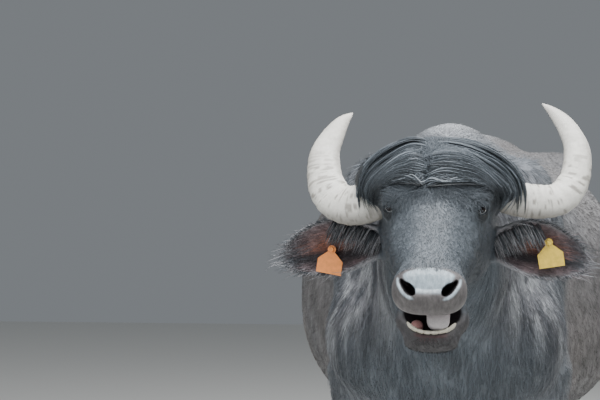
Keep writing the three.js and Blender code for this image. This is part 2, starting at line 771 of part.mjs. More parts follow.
function hornShape(word, t) {
  const taper = 0.93 * Math.pow(1 - Math.pow(t, 2.6), 0.75) + 0.07 * (1 - Math.pow(t, 12));
  const ridged = smoothstep(t, 0.12, 0.25) * (1 - smoothstep(t, 0.62, 0.8));
  const ridge = 1 + 0.035 * Math.sin(t * HORN_RIDGES * 2 * Math.PI) * ridged;
  const girth = taper * ridge * smoothstep(t, -0.2, 0.18);
  return { wide: HORN_DEEP * girth, deep: HORN_WIDE[word] * girth };
}

function horn(word, side, grow = 0) {
  // Faces forward with its broad side: depth runs fore and aft, width in the plane of the crescent.
  const depthways = V(0, 1, -0.35).normalize();
  const shape = (t) => {
    const { wide, deep } = hornShape(word, t);
    return { wide: wide + grow, deep: deep + grow };
  };
  return solid(sweep(hornPath(word, side), depthways, shape, 11));
}

// Ears: cupped leaves with a stout root, held out level and a little back.

const EAR_LENGTH = { left: 250, right: 276 };
const EAR_WIDTH = 72; // half the broadest part, measured round the cup
const EAR_STEPS = 10;
const EAR_ACROSS = 8;

function earFrame(side) {
  return {
    root: fromHead(-62, side * 104, -188),
    out: V(side * 0.955, 0.27, 0.0).normalize(),
    up: V(0, -0.12, 1).normalize(),
    front: V(side * 0.3, -0.95, -0.1).normalize(),
  };
}

function earHalfWidth(t) {
  return EAR_WIDTH * (0.4 + 0.6 * smoothstep(t, 0, 0.42)) * Math.pow(Math.max(1 - Math.pow(Math.max(t, 0), 3.4), 0.004), 0.6);
}

// A point on the ear: t runs from root to tip, w from the lower edge (-1) to the upper (1).
function earPoint(side, t, w, thick) {
  const frame = earFrame(side);
  const half = earHalfWidth(t);
  const curl = lerp(1.35, 0.45, smoothstep(t, 0, 0.7)); // how far each half is rolled round the cup
  const radius = half / curl;
  const droop = -44 * t * t;
  const depth = radius * (1 - Math.cos(w * curl));
  return frame.root
    .clone()
    .addScaledVector(frame.out, t * (side > 0 ? EAR_LENGTH.left : EAR_LENGTH.right))
    .addScaledVector(frame.up, radius * Math.sin(w * curl) + droop)
    .addScaledVector(frame.front, depth - thick);
}

function ear(side) {
  const backOf = (t) => lerp(15, 3.2, smoothstep(t, 0, 0.5));
  const rings = Array.from({ length: EAR_STEPS + 1 }, (_, i) => {
    const t = lerp(-0.12, 0.985, i / EAR_STEPS);
    const front = Array.from({ length: EAR_ACROSS + 1 }, (_, j) => earPoint(side, t, (j / EAR_ACROSS) * 2 - 1, 0));
    const back = Array.from({ length: EAR_ACROSS - 1 }, (_, j) =>
      earPoint(side, t, 1 - ((j + 1) / EAR_ACROSS) * 2, backOf(t)),
    );
    return [...front, ...back];
  });
  const middle = (ring) => ring.reduce((sum, p) => sum.add(p), V(0, 0, 0)).divideScalar(ring.length);
  return solid(closedRings(rings, middle(rings[0]), middle(rings[rings.length - 1])));
}

// Ear tags: a flat plate with a tapered neck, and the pin with a round head that holds it to the ear.

const TAG = { wide: 61, tall: 32, neck: 26, thick: 1.8, boss: 10, head: 7, pin: 3.4 };

function tagOutline() {
  const outline = new THREE.Shape();
  outline.moveTo(-TAG.wide / 2, -TAG.tall);
  outline.lineTo(TAG.wide / 2, -TAG.tall);
  outline.lineTo(TAG.wide / 2, 0);
  outline.lineTo(TAG.boss, TAG.neck - 7);
  outline.absarc(0, TAG.neck, TAG.boss, -0.6, Math.PI + 0.6, false);
  outline.lineTo(-TAG.boss, TAG.neck - 7);
  outline.lineTo(-TAG.wide / 2, 0);
  outline.closePath();
  return outline;
}

function tag(side, place) {
  const plate = new THREE.ExtrudeGeometry(tagOutline(), { depth: TAG.thick, bevelEnabled: false, curveSegments: 5 });
  const reach = place.ahead + 8;
  const pin = new THREE.CylinderGeometry(TAG.pin, TAG.pin, reach, 8).rotateX(Math.PI / 2);
  pin.translate(0, TAG.neck, TAG.thick / 2 - reach / 2);
  const head = new THREE.CylinderGeometry(TAG.head - 2, TAG.head, 5, 12).rotateX(Math.PI / 2);
  head.translate(0, TAG.neck, TAG.thick + 2);
  const made = solid(plate).add(solid(pin)).add(solid(head));
  const spot = earPoint(side, place.t, place.w, 0).add(V(0, -place.ahead, 0));
  const pose = new THREE.Matrix4()
    .makeTranslation(spot.x, spot.y, spot.z)
    .multiply(new THREE.Matrix4().makeBasis(S, V(0, 0, 1), S.clone().cross(V(0, 0, 1))))
    .multiply(new THREE.Matrix4().makeRotationFromEuler(new THREE.Euler(place.pitch, place.yaw, place.roll)))
    .multiply(new THREE.Matrix4().makeTranslation(0, -TAG.neck, 0));
  return made.transform(pose.elements);
}

// Forelock: a thin cap of hair over the crown, and flat locks that part in the middle and sweep down both sides.

const CAP_DEPTH = 12;
const CAP_SIDES = 18;
const CAP_PLACES = [-240, -200, -165, -130, -95, -60, -30, 0, 30];
const LOCK_STATIONS = 5;
const SIDE_LOCKS = 8; // on each side, in a row from the poll forwards
const FRINGE_LOCKS = 4; // on each side, hanging down the brow
const degrees = THREE.MathUtils.degToRad;

function capDepth(p) {
  const q = toHead(p);
  const along = smoothstep(q.f, -225, -150) * (1 - smoothstep(q.f, -62, 6));
  return CAP_DEPTH * along * smoothstep(q.u, -120, -50);
}

// What the hair lies on: the head, and the root of each horn.
const HORN_ROOT = { x: 138, y: -106, z: -66, rx: 66, ry: 48, rz: 46 };

function scalpDistance(p) {
  const q = toHead(p);
  return blend(headAndNeckDistance(p), eggDistance(Math.abs(q.s), q.f, q.u, HORN_ROOT), 40);
}

// A point over the head: along its axis, round it by an angle from the top, and lifted off the skin.
function overHead(f, angle, lift) {
  const middle = fromHead(f, 0, sizeAt(HEAD_AXIS, "u", f));
  const ray = S.clone().multiplyScalar(Math.sin(angle)).addScaledVector(U, Math.cos(angle));
  const skin = castOut(scalpDistance, middle, ray, 330);
  return { point: middle.addScaledVector(ray, skin + lift), ray };
}

// One flat tapered lock. It is rooted under the cap and lifts towards its tip.
function lock({ from, to, width, lift, sway }) {
  const places = Array.from({ length: LOCK_STATIONS }, (_, i) => {
    const t = i / (LOCK_STATIONS - 1);
    const bend = sway * Math.sin(t * Math.PI * 1.5);
    const f = lerp(from.f, to.f, t) + bend;
    return { t, ...overHead(f, lerp(from.angle, to.angle, t), lerp(-6, lift, Math.pow(t, 0.7))) };
  });
  const rings = places.map(({ t, point, ray }, i) => {
    const ahead = places[Math.min(i + 1, LOCK_STATIONS - 1)].point;
    const behind = places[Math.max(i - 1, 0)].point;
    const across = ahead.clone().sub(behind).cross(ray).normalize();
    const half = width * (t < 0.4 ? lerp(0.7, 1, t / 0.4) : lerp(1, 0.16, Math.pow((t - 0.4) / 0.6, 1.4)));
    const thick = lerp(11, 2.4, t);
    return [
      point.clone().addScaledVector(across, half),
      point.clone().addScaledVector(ray, thick * 0.6),
      point.clone().addScaledVector(across, -half),
      point.clone().addScaledVector(ray, -thick),
    ];
  });
  return solid(closedRings(rings, places[0].point, places[LOCK_STATIONS - 1].point));
}

function forelockLocks() {
  const random = randomFrom(SEED);
  const vary = (size) => (random() * 2 - 1) * size;
  const locks = [];
  for (const side of [1, -1]) {
    for (let i = 0; i < SIDE_LOCKS; i++) {
      const row = i / (SIDE_LOCKS - 1);
      const f = lerp(-200, -52, row);
      locks.push({
        from: { f: f + vary(5), angle: side * degrees(2 + vary(3)) },
        to: { f: f + lerp(4, 22, row) + vary(8), angle: side * degrees(lerp(74, 84, row) + vary(7)) },
        width: 20 + vary(3),
        lift: 22 + vary(5),
        sway: vary(6),
      });
    }
    for (let i = 0; i < FRINGE_LOCKS; i++) {
      const row = i / (FRINGE_LOCKS - 1);
      const angle = lerp(4, 44, row);
      locks.push({
        from: { f: -72 + vary(8), angle: side * degrees(angle + vary(3)) },
        to: { f: lerp(4, -16, row) + vary(12), angle: side * degrees(angle + 24 + vary(6)) },
        width: 16 + vary(3),
        lift: 12 + vary(4),
        sway: vary(4),
      });
    }
  }
  return locks.map(lock);
}

// The hair gives way to each horn.
function forelock(horns) {
  const frames = CAP_PLACES.map((f) => ({
    middle: fromHead(f, 0, sizeAt(HEAD_AXIS, "u", f)),
    axis: F,
    side: S.clone().negate(),
    up: U,
  }));
  const cap = solid(castShell((p) => scalpDistance(p) - capDepth(p), frames, CAP_SIDES, 330));
  const hair = forelockLocks().reduce((all, one) => all.add(one), cap);
  let made = clearOf(beyond(hair, HEAD_CUT), headSolid);
  for (const one of horns) made = made.subtract(one);
  for (const side of [1, -1]) {
    const over = LID + CLEAR;
    made = made.subtract(headEgg(sideways(EYE_SPOT, side), [over, over, over]));
  }
  return largest(made);
}

// Hooves: two claws to a foot, flat underneath.

const HOOF_TOP = 70;

function claw(leg, lateral) {
  const foot = legMiddle(leg, HOOF_TOP);
  const [length, width, split] = [leg.rows === FORELEG ? 68 : 63, 57, 2.5];
  const rows = [
    { z: 0, grow: 1, ahead: 16 },
    { z: 26, grow: 0.98, ahead: 10 },
    { z: HOOF_TOP - GAP, grow: 0.86, ahead: 0 },
  ];
  const sides = 14;
  const rings = rows.map((row) =>
    Array.from({ length: sides }, (_, j) => {
      const a = (j / sides) * 2 * Math.PI;
      const across = Math.sin(a) > 0 ? Math.pow(Math.sin(a), 0.8) * width : 0;
      const toe = -Math.cos(a) * length * (Math.cos(a) > 0 ? 1.05 : 0.9);
      const narrow = Math.sin(a) > 0 ? 1 : 0.94;
      return V(
        foot.x + lateral * (split + across * row.grow),
        foot.y + toe * row.grow * narrow - row.ahead,
        row.z,
      );
    }),
  );
  const middle = (ring) => ring.reduce((sum, p) => sum.add(p), V(0, 0, 0)).divideScalar(ring.length);
  return solid(closedRings(rings, middle(rings[0]), middle(rings[rings.length - 1])));
}

// Legs, each ending on top of its hooves and carrying two dewclaws behind the fetlock.

const LEG_SIDES = 13;
const LEG_PLACES = [70, 92, 118, 142, 166, 192, 222, 270, 320, 358, 385, 410, 436, 466, 510, 560, 612, 664, 716, 760];

function dewclaw(leg, lateral) {
  const fetlock = legMiddle(leg, 150);
  const cone = new THREE.ConeGeometry(15, 46, 8);
  cone.rotateX(-0.6 * Math.PI);
  return solid(cone.translate(fetlock.x + lateral * 21, fetlock.y + 44, 138));
}

function legSolid(leg) {
  const frames = LEG_PLACES.map((z) => ({
    middle: legMiddle(leg, z),
    axis: V(0, 0, 1),
    side: V(1, 0, 0),
    up: V(0, 1, 0),
    reach: z < 560 ? 130 : 190,
  }));
  const shell = solid(castShell(legAndTrunkDistance(leg), frames, LEG_SIDES, 190));
  const cut = clearOf(beyond(shell, legCut(leg)), torso);
  return cut.add(dewclaw(leg, 1)).add(dewclaw(leg, -1));
}

// Tail: a tapering dock and a hanging switch.

const TAIL_LINE = [V(0, 800, 1205), V(0, 868, 1206), V(2, 922, 1150), V(5, 934, 1030), V(9, 930, 860), V(12, 922, 680)];
const SWITCH_LINE = [V(12, 922, 678), V(14, 921, 600), V(15, 924, 500), V(14, 930, 400)];

function tail() {
  const shape = (t) => ({ wide: lerp(36, 12, Math.pow(t, 0.6)), deep: lerp(34, 11, Math.pow(t, 0.6)) });
  return clearOf(solid(sweep(curvePoints(TAIL_LINE, 16), V(1, 0, 0), shape, 8)), torso);
}

// The switch: a slim core, and locks that start round it and hang a little apart.
const SWITCH_LOCKS = 6;

function tailSwitch() {
  const random = randomFrom(SEED + 1);
  const line = SWITCH_LINE.map((p, i) => (i ? p : p.clone().add(V(0, 0, -GAP - 1))));
  const core = (t) => {
    const girth = Math.sin(Math.PI * clamp(0.2 + 0.72 * t, 0, 1));
    return { wide: 6 + 14 * girth, deep: 6 + 12 * girth };
  };
  let made = solid(sweep(curvePoints(line, 7), V(1, 0, 0), core, 8));
  for (let i = 0; i < SWITCH_LOCKS; i++) {
    const angle = ((i + random() * 0.5) / SWITCH_LOCKS) * 2 * Math.PI;
    const out = V(Math.cos(angle), Math.sin(angle), 0);
    const top = lerp(655, 560, random());
    const length = lerp(190, 250, random());
    const spread = lerp(20, 30, random());
    const path = [0, 0.35, 0.7, 1].map((t) => {
      const z = Math.max(top - length * t, 378);
      const middle = V(lerp(12, 15, (678 - z) / 300), lerp(921, 930, (678 - z) / 300), z);
      return middle.addScaledVector(out, lerp(4, spread, Math.sin(Math.min(t * 1.3, 1) * Math.PI * 0.5)) * (1 - 0.4 * t * t));
    });
    const shape = (t) => ({ wide: lerp(15, 3, Math.pow(t, 1.5)), deep: lerp(7, 2, t) });
    made = made.add(solid(sweep(path, V(-out.y, out.x, 0), shape, 4)));
  }
  return made;
}

// Udder with four teats, tucked up between the thighs

function udder() {
  const [middle, half] = [V(0, 560, 690), V(92, 150, 92)];
  let made = solid(new THREE.SphereGeometry(1, 14, 9).scale(half.x, half.y, half.z).translate(...middle.toArray()));
  for (const side of [1, -1])
    for (const fore of [1, -1]) {
      const teat = new THREE.CapsuleGeometry(12, 46, 2, 7);
      teat.rotateX(Math.PI / 2);
      made = made.add(solid(teat.translate(side * 44, middle.y - fore * 58, middle.z - 82)));
    }
  for (const name of Object.keys(legSolids)) made = clearOf(made, legSolids[name]);
  return clearOf(made, torso);
}

// Put together

const legSolids = Object.fromEntries(LEGS.map((leg) => [leg.name, legSolid(leg)]));
addNode("torso", torso, "coat");
addNode("neck", neck, "coat");
addNode("head", withPalate(withNostrils(withEyeSockets(headSolid))), "coat");
const jaw = lowerJaw();
addNode("lower_jaw", jaw, "muzzle");
addNode("tongue", clearOf(clearOf(tongue(), jaw), headSolid), "tongue");
const SIDES = [
  { word: "left", side: 1, tagLook: "yellowTag", tagPlace: { t: 0.635, w: 0.32, pitch: 0, yaw: 0.2, roll: 0.15, ahead: 22 } },
  { word: "right", side: -1, tagLook: "orangeTag", tagPlace: { t: 0.55, w: -0.12, pitch: 0, yaw: -0.2, roll: -0.15, ahead: 24 } },
];
for (const { word, side, tagLook, tagPlace } of SIDES) {
  const eye = sideways(EYE_SPOT, side);
  addNode(`eye_${word}`, headEgg(eye, [EYE_RADIUS, EYE_RADIUS, EYE_RADIUS]), "eye");
  const hornSolid = clearOf(horn(word, side), headSolid);
  addNode(`horn_${word}`, hornSolid, "horn");
  const earSolid = clearOf(clearOf(ear(side), headSolid), hornSolid);
  addNode(`ear_${word}`, earSolid, "ear");
  addNode(`ear_tag_${word}`, clearOf(tag(side, tagPlace), earSolid), tagLook);
}
const hornsGrown = SIDES.map(({ word, side }) => horn(word, side, GAP));
addNode("forelock", forelock(hornsGrown), "forelock");
for (const leg of LEGS) {
  addNode(leg.name, legSolids[leg.name], "coat");
  addNode(`${leg.name}_outer_claw`, claw(leg, leg.side), "hoof");
  addNode(`${leg.name}_inner_claw`, claw(leg, -leg.side), "hoof");
}
addNode("tail", tail(), "coat");
addNode("tail_switch", tailSwitch(), "switchHair");
addNode("udder", udder(), "udder");

root.position.y = CENTRE_SHIFT_Y;

export default root;
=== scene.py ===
import math

import bmesh
import bpy
import numpy as np
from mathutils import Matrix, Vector


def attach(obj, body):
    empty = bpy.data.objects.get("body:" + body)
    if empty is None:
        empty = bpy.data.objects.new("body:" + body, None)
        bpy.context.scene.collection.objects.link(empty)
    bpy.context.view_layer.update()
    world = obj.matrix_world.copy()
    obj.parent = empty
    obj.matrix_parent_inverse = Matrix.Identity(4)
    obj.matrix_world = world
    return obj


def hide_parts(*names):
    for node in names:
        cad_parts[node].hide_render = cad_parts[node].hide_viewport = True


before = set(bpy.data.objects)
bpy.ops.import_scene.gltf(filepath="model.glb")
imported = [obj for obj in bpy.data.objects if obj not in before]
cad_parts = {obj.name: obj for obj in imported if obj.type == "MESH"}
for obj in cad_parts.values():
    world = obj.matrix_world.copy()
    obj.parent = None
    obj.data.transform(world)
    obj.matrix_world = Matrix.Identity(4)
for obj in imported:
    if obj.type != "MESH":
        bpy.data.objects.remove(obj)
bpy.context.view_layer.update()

SHIFT = np.array((0.0, 216.0, 0.0))  # from the solids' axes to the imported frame
SEED = 7
EACH_SIDE = ((1, "left"), (-1, "right"))

# Camera and the photograph's frame

IMAGE = (600, 400)
EYES_PIXEL = (436, 207)  # where the middle between the eyes lies in the photograph
HEAD_PLACE = np.array((14.0, -1120.0, 1200.0))  # the same point on the animal
CAMERA_AWAY = 7000.0
CAMERA_AZIMUTH = math.radians(4)
CAMERA_ELEVATION = math.radians(3)
VIEW_WIDTH = 1376.0  # what the photograph takes in at the head
SENSOR = 36.0


def metres(points):
    return (np.asarray(points, float) + SHIFT) / 1000


def make_camera():
    away = np.array(
        (
            math.sin(CAMERA_AZIMUTH) * math.cos(CAMERA_ELEVATION),
            -math.cos(CAMERA_AZIMUTH) * math.cos(CAMERA_ELEVATION),
            math.sin(CAMERA_ELEVATION),
        )
    )
    place = Vector(metres(HEAD_PLACE + away * CAMERA_AWAY))
    data = bpy.data.cameras.new("camera")
    data.sensor_width = SENSOR
    data.lens = SENSOR * CAMERA_AWAY / VIEW_WIDTH
    data.clip_start, data.clip_end = 0.1, 100
    camera = bpy.data.objects.new("camera", data)
    bpy.context.scene.collection.objects.link(camera)
    camera.location = place
    pixels = IMAGE[0] * CAMERA_AWAY / VIEW_WIDTH
    across = math.atan((EYES_PIXEL[0] - IMAGE[0] / 2) / pixels)
    down = math.atan((EYES_PIXEL[1] - IMAGE[1] / 2) / pixels)
    to_head = Vector(metres(HEAD_PLACE)) - place
    flat = math.hypot(to_head.x, to_head.y)
    heading = math.atan2(to_head.x, to_head.y) - across
    rise = math.atan2(to_head.z, flat) + down
    camera.rotation_euler = (math.pi / 2 + rise, 0, -heading)
    bpy.context.scene.camera = camera


make_camera()

# Small helpers


def smoothstep(x, start, end):
    t = np.clip((x - start) / (end - start), 0, 1)
    return t * t * (3 - 2 * t)


def lerp(a, b, t):
    return a + (b - a) * t


def unit(v):
    return v / np.maximum(np.linalg.norm(v, axis=-1, keepdims=True), 1e-9)


def noise(p, size, seed=0):
    """Smooth random values from 0 to 1, with features of about the given size."""
    q = p / size + seed * 17.31
    cell = np.floor(q).astype(np.int64)
    t = q - cell
    t = t * t * (3 - 2 * t)
    total = np.zeros(len(p))
    for corner in range(8):
        step = np.array([(corner >> axis) & 1 for axis in range(3)])
        n = cell + step
        key = (n[:, 0] * 73856093) ^ (n[:, 1] * 19349663) ^ (n[:, 2] * 83492791)
        key = (key ^ (key >> 13)) * 1274126177 & 0xFFFFFFFF
        key = (key ^ (key >> 16)) & 0xFFFF
        weight = np.prod(np.where(step, t, 1 - t), axis=1)
        total += weight * key / 65535
    return total


class Stations:
    """Sizes at places along a limb, joined by smooth curves."""

    def __init__(self, *rows):
        rows = np.array(rows, float)
        at = rows[:, 0]
        count = np.arange(len(rows))
        ahead = rows[np.minimum(count + 1, len(rows) - 1)]
        behind = rows[np.maximum(count - 1, 0)]
        slope = (ahead - behind) / (ahead[:, :1] - behind[:, :1])
        self.first, self.last = at[0], at[-1]
        steps = 2 if at[-1] > 3 else 200  # for each millimetre, or for a limb given in shares
        self.fine = np.linspace(at[0], at[-1], int(abs(at[-1] - at[0]) * steps) + 2)
        i = np.clip(np.searchsorted(at, self.fine, side="right") - 1, 0, len(at) - 2)
        span = (at[i + 1] - at[i])[:, None]
        t = (self.fine - at[i])[:, None] / span
        self.table = (
            (2 * t**3 - 3 * t**2 + 1) * rows[i]
            + (t**3 - 2 * t**2 + t) * span * slope[i]
            + (3 * t**2 - 2 * t**3) * rows[i + 1]
            + (t**3 - t**2) * span * slope[i + 1]
        )

    def __call__(self, at):
        return [np.interp(at, self.fine, column) for column in self.table.T[1:]]

    def past(self, at):
        return np.maximum(np.maximum(self.first - at, at - self.last), 0)


def section(across, high, half, top, bottom, mid, power, past=0.0, cap=1.0):
    """Roughly the signed distance from a closed section, rounder above or below its widest line.

    Past the end of its limb the section closes as a dome whose length is cap.
    """
    reach = np.where(high > mid, top - mid, mid - bottom)
    q = (np.abs(across) / half) ** power + (np.abs(high - mid) / reach) ** power + (past / cap) ** power
    return (q ** (1 / power) - 1) * np.minimum(half, (top - bottom) / 2)


def egg(x, y, z, place, radii, tip=0.0):
    """Roughly the signed distance from an egg, tipped by a turn about X."""
    c, s = math.cos(tip), math.sin(tip)
    dy, dz = y - place[1], z - place[2]
    a = (x - place[0]) / radii[0]
    b = (dy * c + dz * s) / radii[1]
    e = (dz * c - dy * s) / radii[2]
    k0 = np.sqrt(a * a + b * b + e * e)
    k1 = np.sqrt((a / radii[0]) ** 2 + (b / radii[1]) ** 2 + (e / radii[2]) ** 2)
    return k0 * (k0 - 1) / np.maximum(k1, 1e-9)


def blend(a, b, width):
    h = np.maximum(width - np.abs(a - b), 0) / width
    return np.minimum(a, b) - h * h * width / 4


def carve(a, b, width):
    """What is left of a once b is cut away, with a rounded edge."""
    return -blend(-a, b, width)


# The trunk: place along Y, half width, top, bottom and height of the widest line

TRUNK = Stations(
    (-700, 60, 930, 780, 850),
    (-665, 150, 1040, 712, 870),
    (-580, 222, 1230, 634, 885),
    (-420, 268, 1332, 585, 890),
    (-200, 345, 1320, 562, 890),
    (40, 425, 1302, 535, 890),
    (240, 440, 1296, 536, 890),
    (430, 372, 1298, 594, 910),
    (620, 290, 1282, 700, 960),
    (780, 215, 1236, 800, 1000),
    (860, 130, 1150, 900, 1020),
    (885, 50, 1080, 980, 1030),
)
# Muscles and bones under the skin, mirrored: place, radii and tip
TRUNK_MASSES = (
    ((200, -440, 1050), (92, 135, 245), 0.28),  # shoulder blade
    ((205, -560, 850), (92, 118, 135), 0),  # point of the shoulder
    ((215, -400, 740), (82, 125, 135), 0),  # elbow
    ((248, 425, 1204), (74, 100, 66), 0),  # hip bone
    ((205, 640, 965), (118, 205, 285), -0.12),  # thigh
    ((212, 500, 770), (88, 120, 140), 0),  # stifle
    ((112, 828, 1120), (62, 62, 68), 0),  # pin bone
)
SPINE_MASSES = (
    ((0, -400, 1278), (62, 165, 72), 0),  # withers
    ((0, 480, 1256), (110, 190, 56), 0),  # croup
    ((0, -570, 730), (105, 115, 110), 0),  # brisket
    ((0, 835, 1185), (50, 70, 45), 0),  # root of the tail
)


def trunk_distance(x, y, z):
    d = section(x, z, *TRUNK(y), 2.3) + TRUNK.past(y)
    for place, radii, tip in TRUNK_MASSES:
        d = blend(d, egg(np.abs(x), y, z, place, radii, tip), 70)
    for place, radii, tip in SPINE_MASSES:
        d = blend(d, egg(x, y, z, place, radii, tip), 70)
    return d


# The legs: height, then the middle's x and y, half width, front and back

FORELEG = Stations(
    (70, 176, -474, 56, 62, -54),
    (118, 178, -456, 41, 40, -42),
    (165, 180, -440, 47, 46, -54),
    (215, 181, -437, 37, 38, -42),
    (290, 182, -437, 34, 37, -40),
    (355, 183, -438, 43, 46, -45),
    (405, 184, -438, 54, 55, -53),
    (455, 186, -434, 50, 50, -54),
    (540, 192, -428, 58, 62, -72),
    (640, 202, -420, 76, 82, -104),
    (760, 208, -410, 84, 104, -126),
)
HINDLEG = Stations(
    (70, 168, 606, 53, 60, -52),
    (118, 169, 624, 40, 39, -42),
    (168, 170, 642, 46, 45, -54),
    (225, 171, 652, 36, 38, -43),
    (330, 173, 668, 34, 40, -42),
    (430, 176, 688, 42, 50, -50),
    (500, 180, 700, 47, 62, -62),
    (560, 184, 690, 44, 64, -66),
    (640, 192, 652, 60, 100, -84),
    (740, 202, 596, 88, 140, -130),
    (880, 206, 596, 104, 170, -180),
)
# Name, sizes, side, and how far the foot is set back (+) or forward (-) of a square stance
LEGS = (
    ("foreleg_left", FORELEG, 1, -26),
    ("foreleg_right", FORELEG, -1, 22),
    ("hindleg_left", HINDLEG, 1, 34),
    ("hindleg_right", HINDLEG, -1, -30),
)
LEG_TOP = 980  # no leg matters above this height


def leg_middle(leg, z):
    _, rows, side, step = leg
    x, y = rows(z)[:2]
    return side * x, y + step * (1 - smoothstep(z, rows.first, rows.last))


def leg_distance(leg, x, y, z):
    mid_x, mid_y = leg_middle(leg, z)
    half, front, back = leg[1](z)[2:]
    past = np.maximum(z - leg[1].last, 0) + np.maximum(leg[1].first - z, 0)
    return section(x - mid_x, mid_y - y, half, front, back, 0, 2.3) + past


# The neck, on a straight axis from inside the shoulders to the back of the head

NECK_ROOT = np.array((0.0, -450.0, 1060.0))
NECK_AXIS = unit(np.array((12.0, -965.0, 1172.0)) - NECK_ROOT)
NECK_SIDE = unit(-np.cross((0, 0, 1), NECK_AXIS))
NECK_UP = np.cross(NECK_SIDE, NECK_AXIS)
NECK = Stations(
    (-60, 190, 250, -300, -20),
    (120, 186, 232, -290, -24),
    (260, 160, 178, -246, -30),
    (400, 132, 134, -196, -34),
    (540, 112, 112, -150, -30),
)


def neck_distance(p):
    d = p - NECK_ROOT
    at = d @ NECK_AXIS
    return section(d @ NECK_SIDE, d @ NECK_UP, *NECK(at), 2.15) + NECK.past(at)


# The head, in its own axes: f forward down the nose, s to the animal's left, u up out of the face

HEAD_PITCH = math.radians(32)
HEAD_YAW = math.radians(0.5)
HEAD_ROLL = math.radians(-1.2)
EYE_SPOT = (4.0, 96.0, -44.0)  # f, s and u of the left eyeball
EYE_RADIUS = 20.0
LID_RADIUS = 24.0


def turned(v, axis, angle):
    c, s = math.cos(angle), math.sin(angle)
    return v * c + np.cross(axis, v) * s + axis * np.dot(axis, v) * (1 - c)


FACING = np.array((math.sin(HEAD_YAW), -math.cos(HEAD_YAW), 0))
DOWNWARD = np.array((0, 0, -1.0))
F = FACING * math.cos(HEAD_PITCH) + DOWNWARD * math.sin(HEAD_PITCH)
U = turned(FACING * math.sin(HEAD_PITCH) - DOWNWARD * math.cos(HEAD_PITCH), F, HEAD_ROLL)
S = turned(np.array((math.cos(HEAD_YAW), math.sin(HEAD_YAW), 0)), F, HEAD_ROLL)
HEAD_ORIGIN = HEAD_PLACE - U * EYE_SPOT[2]


def from_head(f, s, u):
    f, s, u = (np.asarray(v, float)[..., None] for v in (f, s, u))
    return HEAD_ORIGIN + F * f + S * s + U * u


def to_head(p):
    d = p - HEAD_ORIGIN
    return d @ F, d @ S, d @ U


HEAD = Stations(
    (-205, 96, -70, -225, -140),
    (-150, 118, 4, -264, -120),
    (-90, 122, 38, -280, -110),
    (-30, 114, 38, -274, -105),
    (25, 97, 20, -256, -102),
    (75, 80, 4, -232, -98),
    (120, 68, -5, -204, -90),
    (155, 66, -9, -158, -80),
    (190, 67, -11, -130, -74),
    (240, 70, -15, -122, -76),
    (280, 70, -26, -118, -80),
    (308, 54, -50, -106, -82),
)
# Masses of the head, mirrored: place and radii in s, f and u, and how widely each is blended in
HEAD_MASSES = (
    ((84, -14, -30), (38, 46, 34), 34),  # rim of the eye socket
    ((118, -118, -62), (62, 56, 54), 34),  # boss that carries the horn
    ((88, -40, -165), (38, 92, 84), 34),  # chewing muscle
    ((56, 78, -100), (36, 90, 36), 76),  # cheek ridge
    ((46, 274, -78), (32, 38, 40), 34),  # wing of the nostril
    ((92, -84, -180), (38, 50, 50), 34),  # root of the ear
)
HEAD_MIDDLE_MASSES = (
    ((0, -76, -2), (86, 92, 50)),  # domed forehead
    ((0, 283, -99), (62, 36, 26)),  # upper lip
)
JAW = Stations(
    (-40, 74, -150, -250, -200),
    (50, 68, -136, -226, -180),
    (120, 66, -124, -198, -158),
    (180, 82, -120, -186, -152),
    (212, 82, -117, -184, -148),
    (236, 69, -117, -181, -147),
    (258, 62, -118, -179, -147),
)
JAW_JOINT = (-110.0, -105.0)
JAW_OPENING = math.radians(16)


def swing_jaw(f, u, angle):
    df, du = f - JAW_JOINT[0], u - JAW_JOINT[1]
    c, s = math.cos(angle), math.sin(angle)
    return JAW_JOINT[0] + df * c + du * s, JAW_JOINT[1] + du * c - df * s


def from_jaw(f, s, u):
    open_f, open_u = swing_jaw(f, u, JAW_OPENING)
    return from_head(open_f, s, open_u)


def head_distance(f, s, u):
    side = np.abs(s)
    d = section(s, u, *HEAD(f), 2.5, HEAD.past(f), 24)
    for place, radii, width in HEAD_MASSES:
        d = blend(d, egg(side, f, u, place, radii), width)
    for place, radii in HEAD_MIDDLE_MASSES:
        d = blend(d, egg(s, f, u, place, radii), 34)
    return d


# Directions at the left eye and the left nostril, in s, f and u:
# along the opening, out through it, and across it


def opening_axes(along, out):
    out = unit(np.array(out, float))
    along = np.array(along, float)
    along = unit(along - out * (along @ out))
    return np.stack((along, out, np.cross(along, out)), axis=1)


EYE_AXES = opening_axes((0.75, -0.643, -0.142), (0.62, 0.583, 0.483))
NOSTRIL_SPOT = (309.0, 46.0, -47.0)
NOSTRIL_AXES = opening_axes((-26, 18, -22), (0.38, 0.66, 0.65))


def local_egg(f, side, u, spot, axes, shift, radii):
    """An egg at a spot (f, s, u). Shift and radii run along the opening, out through it, and across it."""
    d = np.stack((side - spot[1], f - spot[0], u - spot[2]), axis=-1)
    return egg(*(d @ axes).T, shift, radii)


def nostril_distance(f, side, u):
    def part(shift, radii):
        return local_egg(f, side, u, NOSTRIL_SPOT, NOSTRIL_AXES, shift, radii)

    return blend(part((3, -8, 0), (17, 28, 9)), part((-15, -4, 3), (12, 16, 4)), 6)


